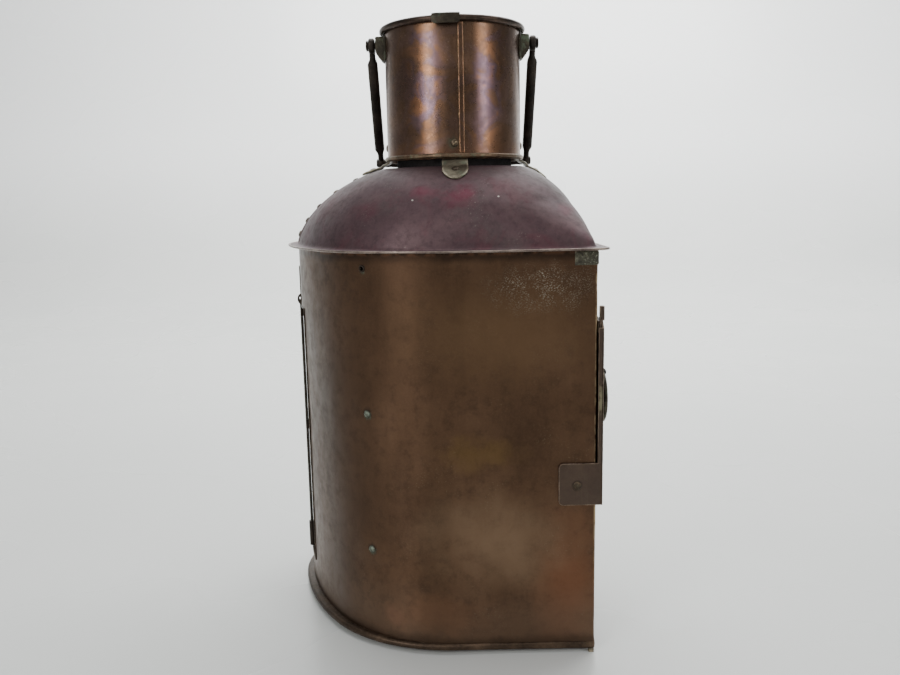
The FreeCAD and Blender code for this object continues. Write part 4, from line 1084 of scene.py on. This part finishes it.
def build_clip():
    mid, h = -94.9, 10.3
    prof = [(50.05, 449.0), (50.05, 454.6), (50.5, 455.9), (51.6, 456.35), (53.8, 456.35), (55.4, 455.7), (56.05, 454.2), (56.05, 449.0),
            (55.2, 449.0), (55.2, 453.9), (54.7, 455.0), (53.5, 455.42), (51.8, 455.42), (50.9, 455.0), (50.75, 454.2), (50.75, 449.0)]
    prof2 = [(r - (0.75 if r < 50.9 else 0), z) for r, z in prof]
    prof2[0] = (49.3, 449.0)
    rows = []
    for k, f in enumerate(np.linspace(-1, 1, 25)):
        th = mid + h * f
        c, s = math.cos(rad(th)), math.sin(rad(th))
        drop = 1.3 * smooth(0.82, 1.0, abs(f))
        rows.append([((r) * c, (r) * s, z + (drop if z < 449.5 else 0) + 0.10 * nz(th, r, 0, 4.0, 2.0)) for r, z in prof2])
    g = Geo()
    g.grid(rows, close_v=True, cap_u=True)
    g.obj("mouth_clip_brass", "hood", "dull_brass", MAT_BRASS, ("rim_clip",), 40.0)


build_clip()


# ------------------------------------------------------------------ straps between hood and chimney
def build_straps():
    g, gr = Geo(), Geo()
    for a in (0.0, 90.0, 180.0, 270.0):
        th = a if a <= 180 else a - 360
        ca, sa = math.cos(rad(a)), math.sin(rad(a))
        c2 = [(49.85, 378.4), (49.85, 372.0), (49.85, 366.0), (49.85, 360.0), (49.9, 358.2), (50.6, 357.1), (52.2, 356.5), (54.6, 355.6)]
        for r in (57.0, 59.5, 62.0, 64.5, 67.0, 69.2, 70.8, 71.65):
            c2.append((r, float(dome_z(np.array([th]), np.array([r]))[0]) + 1.85))
        nu, nv = len(c2), 15
        rows_o, rows_i = [], []
        for i, (r, z) in enumerate(c2):
            if i == 0:
                t = Vector((c2[1][0] - r, 0, c2[1][1] - z))
            elif i == nu - 1:
                t = Vector((r - c2[i - 1][0], 0, z - c2[i - 1][1]))
            else:
                t = Vector((c2[i + 1][0] - c2[i - 1][0], 0, c2[i + 1][1] - c2[i - 1][1]))
            t.normalize()
            nn = Vector((-t.z, 0, t.x))
            if nn.z < 0 or (abs(nn.z) < 0.3 and nn.x > 0 and z > 357.5):
                nn = -nn
            if z > 357.5:
                nn = Vector((1, 0, 0))
            half = 9.2
            if r > 62.5:
                half = math.sqrt(max(0.3, 9.2 ** 2 - (r - 62.5) ** 2))
            if z > 370:
                half = 9.2 * math.sqrt(max(0.02, 1 - ((z - 370) / 8.6) ** 2))
            o, q = [], []
            for v in np.linspace(-1, 1, nv):
                y = v * half
                if z > 357.5:
                    rr = math.sqrt(max(0.0, r * r - y * y))
                    edge = 0.25 if abs(v) > 0.93 else 0.0
                    P = Vector((rr, y, z))
                    n2 = Vector((rr, y, 0)).normalized()
                    po, pi = P + n2 * (0.25 - edge * 0.4), P - n2 * 0.85
                else:
                    e = 0.3 if abs(v) > 0.93 or i == nu - 1 else 0.0
                    P = Vector((r, y, z))
                    po, pi = P - nn * e, P - nn * 1.25
                po = po + Vector((0, 0, 0.08 * nz(po.x, po.y, po.z + a, 7.0, 2.0))) if z < 357.5 else po
                for vec, lst in ((po, o), (pi, q)):
                    lst.append((vec.x * ca - vec.y * sa, vec.x * sa + vec.y * ca, vec.z))
            rows_o.append(o)
            rows_i.append(q)
        g.sheet(rows_o, rows_i, [[True] * (nv - 1)] * (nu - 1))
        gr.rivet((51.02 * ca, 51.02 * sa, 368.0), (ca, sa, 0), 2.75, 1.4, 20)
        zt = float(dome_z(np.array([th]), np.array([63.0]))[0]) + 1.8
        sl = float(dome_z(np.array([th]), np.array([64.0]))[0] - dome_z(np.array([th]), np.array([62.0]))[0]) / 2
        gr.rivet((63.0 * ca, 63.0 * sa, zt), (-sl * ca, -sl * sa, 1.0), 2.6, 1.1, 20)
    g.obj("strap_strips", "hood", "hood_copper", MAT_STRAP, ("chimney_straps",), 40.0)
    gr.obj("strap_rivet_heads", "hood", "dark_copper", MAT_RIVET, ("strap_rivets",), 60.0)


_, MAT_STRAP = patina("copper_strap", lin(74, 68, 58), lin(98, 92, 78), lin(140, 134, 116), rough=(0.3, 0.5), metallic=0.8,
                      blotch=60.0, bump=0.25, streak=0.0, extra_color=lambda t, c: verd(t, c, 0.3), wear=(0.7, lin(200, 190, 166)))
build_straps()


# ------------------------------------------------------------------ bail lugs, pivots, arms and grip
def build_lugs():
    g, gp = Geo(), Geo()
    for sg in (1, -1):
        # wedge block with softened edges, as stacked rounded slices along z
        rows = []
        zs = [431.6, 432.0, 432.6, 434.5, 437.0, 439.0, 441.0, 444.0, 447.0, 448.8, 449.5, 449.8]
        for z in zs:
            if z < 432.4:
                xo = 52.4 + (z - 431.6) * 1.0
            elif z < 438.6:
                xo = 53.2 + (z - 432.4) / 6.2 * 4.75
            else:
                xo = 57.95
            sh = 0.9 if z in (431.6, 449.8) else (0.3 if z in (432.0, 449.5) else 0.0)
            xo -= sh
            hy = 6.45 - sh * 0.8
            xi = 51.1
            lp = []
            for k in range(5):
                an = rad(-90 + 90 * k / 4)
                rr = min(1.2, (xo - xi) * 0.4)
                lp.append((xo - rr + rr * math.cos(an), -(hy - rr) + rr * math.sin(an)))
            for k in range(5):
                an = rad(90 * k / 4)
                rr = min(1.2, (xo - xi) * 0.4)
                lp.append((xo - rr + rr * math.cos(an), (hy - rr) + rr * math.sin(an)))
            lp += [(xi, hy), (xi, 0.0), (xi, -hy)]
            w = [0.12 * nz(x, y, z + 20 * sg, 5.0, 3.0) for x, y in lp]
            rows.append([(sg * (x - abs(ww)), sg * (y * (1 - 0.01 * abs(ww))), z) for (x, y), ww in zip(lp, w)])
        g.grid(rows, close_v=True, cap_u=True)
        # curved base plate against the chimney
        zz = np.linspace(431.9, 449.6, 12)
        O, I = [], []
        for z in zz:
            o, q = [], []
            for f in np.linspace(-1, 1, 21):
                edge = 1 - smooth(0.80, 1.0, abs((z - 440.75) / 8.9))
                hh = 14.2 * (0.86 + 0.14 * edge)
                an = rad(hh * f)
                t_ = 1.2 if abs(f) < 0.9 else 0.8
                o.append((sg * (51.05 + t_) * math.cos(an), sg * (51.05 + t_) * math.sin(an), z))
                q.append((sg * 51.05 * math.cos(an), sg * 51.05 * math.sin(an), z))
            O.append(o)
            I.append(q)
        g.sheet(O, I, [[True] * 20] * 11)
        gp.revolve([(0.0, 0.0), (2.45, 0.0), (2.45, 12.6), (3.9, 12.75), (4.05, 13.3), (3.7, 13.9), (2.6, 14.25), (0.0, 14.35)],
                   (sg * 51.1, 0, 444.0), (sg, 0, 0), 28)
    g.obj("bail_lug_castings", "hood", "verdigris_brass", MAT_VERD, ("bail_lugs",), 40.0)
    gp.obj("bail_pivot_studs", "hood", "dark_iron", MAT_IRON, ("bail_pivots",), 50.0)


build_lugs()
PIV_Z, GRIP_Y, GRIP_Z = 444.0, 60.5, 359.5
AX0, AX1 = 58.4, 63.6


def build_bail():
    g = Geo()
    P0, P1 = Vector((0, 0, PIV_Z)), Vector((0, GRIP_Y, GRIP_Z))
    u = (P1 - P0).normalized()
    L = (P1 - P0).length
    w = Vector((1, 0, 0)).cross(u).normalized()
    for sg in (1, -1):
        xm = sg * 0.5 * (AX0 + AX1)
        # eyes: flattened discs with a hole
        for P, ro_, ri_, th_ in ((P0, 5.55, 2.6, 4.6), (P1, 4.85, 2.55, 4.6)):
            h = th_ / 2
            prof = [(ri_, -h + 0.3), (ri_ + 0.4, -h), (ro_ - 1.0, -h), (ro_ - 0.25, -h + 0.5), (ro_, -h + 1.3), (ro_, h - 1.3),
                    (ro_ - 0.25, h - 0.5), (ro_ - 1.0, h), (ri_ + 0.4, h), (ri_, h - 0.3)]
            g.revolve(prof, (xm, P.y, P.z), (1, 0, 0), 32, closed_prof=True)
        # bar between them: half-round forged section that swells at the ends
        rows = []
        n = 64
        a0, a1 = 3.4, L - 3.0
        for i in range(n + 1):
            l = a0 + (a1 - a0) * i / n
            f = l / L
            e = 1 - 4 * (f - 0.5) ** 2
            hw = 2.85 + 0.20 * (1 - e) + 0.10 * nz(l, sg, 0, 9.0, 4.0)
            hw = min(hw, 3.2)
            k_ = smooth(9.8, 15.5, l) * (1 - smooth(L - 14.5, L - 9.4, l))
            hx = 2.35 + (1.62 + 0.06 * nz(l, sg, 7, 8.0, 4.0)) * k_
            c = Vector((xm + sg * 0.35 * k_, 0, 0)) + P0 + u * l
            row = []
            for k in range(20):
                a = 2 * math.pi * k / 20
                ca, sa = math.cos(a), math.sin(a)
                px = math.copysign(abs(ca) ** 0.7, ca) * hx
                pw = math.copysign(abs(sa) ** 0.7, sa) * hw
                row.append(c + Vector((px, 0, 0)) + w * pw)
            rows.append(row)
        g.grid(rows, close_v=True, cap_u=True)
    g.obj("bail_arm_bars", "bail", "dark_iron", MAT_IRON, ("bail_arms",), 50.0)
    g = Geo()
    prof = []
    for k in range(49):
        x = -58.2 + 116.4 * k / 48
        e = max(0.0, 1 - (x / 58.2) ** 2)
        r = 3.35 + 0.72 * e ** 0.7
        r -= 0.22 * (1 if 3 < abs(abs(x) - 50.0) < 4.0 else 0)
        prof.append((r, x))
    full = [(0.0, -65.15), (2.2, -65.0), (3.45, -64.3), (3.5, -63.75), (2.45, -63.6), (2.45, -58.35), (3.2, -58.3)] + prof + \
           [(3.2, 58.3), (2.45, 58.35), (2.45, 63.6), (3.5, 63.75), (3.45, 64.3), (2.2, 65.0), (0.0, 65.15)]
    g.revolve(full, (0, GRIP_Y, GRIP_Z), (1, 0, 0), 28)
    g.obj("bail_grip_turned", "bail", "dark_iron", MAT_IRON, ("bail_grip",), 50.0)


build_bail()


# ------------------------------------------------------------------ bracket socket
def bevelled(me_name, parts, body, mats, replaces=(), sharp=40.0):
    """parts: (loop points, extrude vector, bevel width). Bevelled edges take the second material."""
    total = bmesh.new()
    for loop, vec, bev in parts:
        bm = bmesh.new()
        vs = [bm.verts.new(Vector(p) * MM) for p in loop]
        f = bm.faces.new(vs)
        r = bmesh.ops.extrude_face_region(bm, geom=[f])
        nv = [g_ for g_ in r["geom"] if isinstance(g_, bmesh.types.BMVert)]
        bmesh.ops.translate(bm, verts=nv, vec=Vector(vec) * MM)
        bmesh.ops.recalc_face_normals(bm, faces=bm.faces)
        if bev > 0:
            ed = [e for e in bm.edges if e.calc_face_angle(0) > rad(28)]
            bmesh.ops.bevel(bm, geom=ed, offset=bev * MM, segments=2, profile=0.5, affect="EDGES", clamp_overlap=True, material=1)
        tmp = bpy.data.meshes.new("tmp")
        bm.to_mesh(tmp)
        bm.free()
        total.from_mesh(tmp)
        bpy.data.meshes.remove(tmp)
    me = bpy.data.meshes.new(me_name)
    total.to_mesh(me)
    total.free()
    me.polygons.foreach_set("use_smooth", [True] * len(me.polygons))
    me.set_sharp_from_angle(angle=rad(sharp))
    for m in mats:
        me.materials.append(m)
    ob = bpy.data.objects.new(me_name, me)
    bpy.context.scene.collection.objects.link(ob)
    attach(ob, body)
    if replaces:
        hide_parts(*replaces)
    return ob


SX0, SX1, SY0, SY1 = 98.2, 99.6, -96.9, -20.0


def rounded_rect(a0, a1, b0, b1, rs, k=6):
    """rs: radii at (a0,b0), (a1,b0), (a1,b1), (a0,b1); returns (a, b) points."""
    out = []
    for (ca, cb, an0), r in zip(((a0, b0, 180), (a1, b0, 270), (a1, b1, 0), (a0, b1, 90)), rs):
        if r <= 0:
            out.append((ca, cb))
            continue
        sa = 1 if ca == a0 else -1
        sb = 1 if cb == b0 else -1
        for i in range(k + 1):
            an = rad(an0 + 90 * i / k)
            out.append((ca + sa * r + r * math.cos(an), cb + sb * r + r * math.sin(an)))
    return out


plate = [(SY0, 113.0), (SY1, 113.0), (SY1, 244.6), (SY0 + 4.6, 244.6), (SY0, 240.0)]
flap = rounded_rect(68.5, SX1 - 0.2, 113.0, 144.0, (3.5, 0, 0, 3.5))
bevelled("bracket_socket_sheet", [
    ([(SX0, y, z) for y, z in plate], (SX1 - SX0, 0, 0), 0.42),
    ([(XB + 0.7, SY0, 143.0), (SX1, SY0, 143.0), (SX1, SY0, 200.6), (SX1 - 0.7, SY0, 201.1), (SX1 - 0.7, SY0, 202.2), (SX1, SY0, 202.7),
      (SX1, SY0, 240.0), (XB + 0.7, SY0, 240.0)], (0, 1.4, 0), 0.3),
    ([(x, SY0, z) for x, z in flap], (0, -XB - 0.05 - SY0, 0), 0.62),
    ([(XB + 0.05, SY1 - 1.4, 113.0), (SX1, SY1 - 1.4, 113.0), (SX1, SY1 - 1.4, 244.6), (XB + 0.05, SY1 - 1.4, 244.6)], (0, 1.4, 0), 0.4),
    ([(XB + 0.05, SY1 - 1.3, z) for z in (113.0,)] + [(XB + 0.05, SY1 + 10.0, 113.0), (XB + 0.05, SY1 + 12.0, 115.0),
     (XB + 0.05, SY1 + 12.0, 242.6), (XB + 0.05, SY1 + 10.0, 244.6), (XB + 0.05, SY1 - 1.3, 244.6)], (1.15, 0, 0), 0.35)],
    "case", (MAT_SOCK, MAT_EDGE_WEAR_HIGHLIGHT), ("bracket_socket",))
bevelled("socket_stop_bar_filed", [
    ([(96.3, -92.0, 236.0), (96.3, -36.0, 236.0), (96.3, -36.0, 244.0), (96.3, -92.0, 244.0)], (1.85, 0, 0), 0.3),
    ([(97.2, -94.0, 236.4), (97.2, -89.5, 236.4), (97.2, -89.5, 247.0), (97.2, -94.0, 247.0)], (0.95, 0, 0), 0.2),
    ([(97.2, -94.0, 244.65), (97.2, -89.5, 244.65), (97.2, -89.5, 254.6), (97.2, -94.0, 254.6)], (3.1, 0, 0), 0.4)],
    "case", (SLOT_MAT[NODE_SLOT["socket_stop_bar"]], MAT_EDGE_WEAR_HIGHLIGHT), ("socket_stop_bar",))
g = Geo()
g.rivet((81.5, SY0 - 0.0, 127.6), (0, -1, 0), 3.1, 1.3, 26)
for z in (128.0, 180.0, 232.0):
    g.rivet((XB + 1.2, -13.0, z), (1, 0, 0), 3.0, 1.2, 24)
g.obj("socket_rivet_heads", "case", NODE_SLOT["socket_rivets"], MAT_RIVET, ("socket_rivets",), 60.0)

# ------------------------------------------------------------------ fixings of the guide rail and the corner patch
FX = pol(C1, R1, -124.0)
EX = (math.cos(rad(-124.0)), math.sin(rad(-124.0)))
g = Geo()
for z in (177.6, 74.8):
    g.rivet((FX[0] + 0.0 * EX[0], FX[1], z), (EX[0], EX[1], 0), 2.55, 1.3, 22)
_, MAT_GRIV = patina("rivet_verdigris", lin(50, 46, 38), lin(80, 82, 70), lin(136, 146, 132), rough=(0.34, 0.6), metallic=0.7,
                     blotch=260.0, bump=0.3, streak=0.0)
g.obj("guide_rivet_heads", "case", NODE_SLOT["guide_rivets"], MAT_GRIV, ("guide_rivets",), 60.0)
g = Geo()
prof = [(1.5, -1.4), (2.05, -1.4), (2.05, 0.0), (2.55, 0.05), (2.55, 0.35), (2.3, 0.72), (1.95, 0.8), (1.6, 0.6), (1.5, 0.2)]
g.revolve(prof, (FX[0], FX[1], 282.0), (EX[0], EX[1], 0), 32, closed_prof=True)
g.obj("guide_eyelet_rolled", "case", NODE_SLOT["guide_eyelet"], MAT_DARK, ("guide_eyelet",), 60.0)


def build_patch():
    g = Geo()
    # a strip that wraps the back corner, thick with solder at its edge
    path = []
    for x in np.linspace(79.5, 94.2, 30):
        path.append((x, -95.25, 0, -1))
    for k in range(7):
        an = rad(-90 + 90 * k / 6)
        path.append((94.2 + 1.05 * math.cos(an), -94.2 + 1.05 * math.sin(an), math.cos(an), math.sin(an)))
    for y in np.linspace(-94.0, -84.0, 20):
        path.append((95.25, y, 1, 0))
    zz = np.linspace(283.0, 292.6, 18)
    O, I = [], []
    for i, (x, y, nx, ny) in enumerate(path):
        o, q = [], []
        fe = min(i, len(path) - 1 - i) / 4.0
        for z in zz:
            ez = min(z - 283.0, 292.6 - z) / 1.2
            k = min(1.0, fe, ez) if min(fe, ez) < 1 else 1.0
            k = max(0.0, k)
            t_ = 0.10 + 0.62 * (k ** 0.5) + 0.20 * nz(x, y, z, 2.6, 5.0) * k
            wob = 0.35 * nz(x * 0.3 + y, z * 2, 0, 3.0, 8.0) if z < 284.2 else 0
            o.append((x + nx * min(0.9, t_), y + ny * min(0.9, t_), max(283.0, z + wob)))
            q.append((x - nx * 0.02, y - ny * 0.02, z))
        O.append(o)
        I.append(q)
    g.sheet(O, I, [[True] * (len(zz) - 1)] * (len(path) - 1))
    g.obj("corner_patch_soldered", "case", NODE_SLOT["corner_patch"], MAT_SOLDER, ("corner_patch",), 50.0)


build_patch()

# ------------------------------------------------------------------ ring
g = Geo()
RX, RY, RZ = 104.9, -57.0, 183.4
path = []
for k in range(96):
    a = 2 * math.pi * k / 96
    path.append((RX, RY + 18.0 * math.cos(a), RZ + 18.0 * math.sin(a)))
g.tube(path, [1.93 * (1 + 0.03 * nz(p[1], p[2], 0, 6.0, 3.0) - (0.10 if p[2] > RZ + 16.5 else 0.0)) for p in path], 16, closed=True)
g.obj("drop_ring_forged", "ring", NODE_SLOT["ring_pull"], MAT_BRASS, ("ring_pull",), 60.0)

# ------------------------------------------------------------------ floor and light
bm = bmesh.new()
prof = [(-6.0, 0.0)]
for y in np.linspace(-5.5, 1.6, 20):
    prof.append((float(y), 0.0))
for k in range(1, 25):
    a = math.pi / 2 * k / 24
    prof.append((1.6 + 1.4 * math.sin(a), 1.4 - 1.4 * math.cos(a)))
prof.append((3.0, 6.0))
vs = []
for x in (-7.0, 7.0):
    vs.append([bm.verts.new((x, y, z)) for y, z in prof])
for i in range(len(prof) - 1):
    bm.faces.new((vs[0][i], vs[1][i], vs[1][i + 1], vs[0][i + 1]))
me = bpy.data.meshes.new("floor")
bm.to_mesh(me)
bm.free()
me.polygons.foreach_set("use_smooth", [True] * len(me.polygons))
floor = bpy.data.objects.new("floor", me)
bpy.context.scene.collection.objects.link(floor)
t = NT("floor_pale")
fl = t.noise(3.0, 2.0, 0.5)
fz = t.zcoord()
fcol = t.ramp(fl, [(0.3, lin(209, 212, 209)), (0.7, lin(215, 217, 214))])
fcol = t.mix(t.maprange(fz[2], 0.05, 0.60), fcol, lin(251, 253, 252))
MAT_FLOOR = t.shader(fcol, t.maprange(fl, 0.3, 0.7, 0.24, 0.30), 0.0,
                     Specular_IOR_Level=0.5)
me.materials.append(MAT_FLOOR)


def area(name, loc, target, size, power, color=(1, 1, 1), size_y=None):
    ld = bpy.data.lights.new(name, "AREA")
    ld.shape = "RECTANGLE"
    ld.size = size
    ld.size_y = size_y or size
    ld.energy = power
    ld.color = color
    lo = bpy.data.objects.new(name, ld)
    bpy.context.scene.collection.objects.link(lo)
    d = Vector(target) - Vector(loc)
    lo.rotation_euler = d.to_track_quat("-Z", "Y").to_euler()
    lo.location = loc
    return lo


area("key_left", (-1.75, -2.1, 1.25), (0, 0, 0.25), 0.80, 30, (1.0, 0.99, 0.98), 1.7)
area("key_right", (2.2, -1.75, 1.15), (0, 0, 0.25), 0.75, 20, (1.0, 0.98, 0.97), 1.6)
area("top", (0.1, 0.3, 2.6), (0, 0.1, 0.2), 2.2, 34, (1.0, 1.0, 1.0), 2.0)
area("front_fill", (0.2, -3.2, 2.1), (0, 0, 0.2), 2.4, 10, (1.0, 1.0, 1.0), 1.2)
area("back_wash", (0.5, 1.2, 2.4), (0.5, 2.9, 0.6), 3.0, 150, (1.0, 1.0, 1.0), 1.2)
w = bpy.data.worlds.new("studio")
w.use_nodes = True
bg = w.node_tree.nodes["Background"]
bg.inputs[0].default_value = (0.80, 0.82, 0.84, 1)
bg.inputs[1].default_value = 0.35
bpy.context.scene.world = w

bpy.context.view_layer.update()
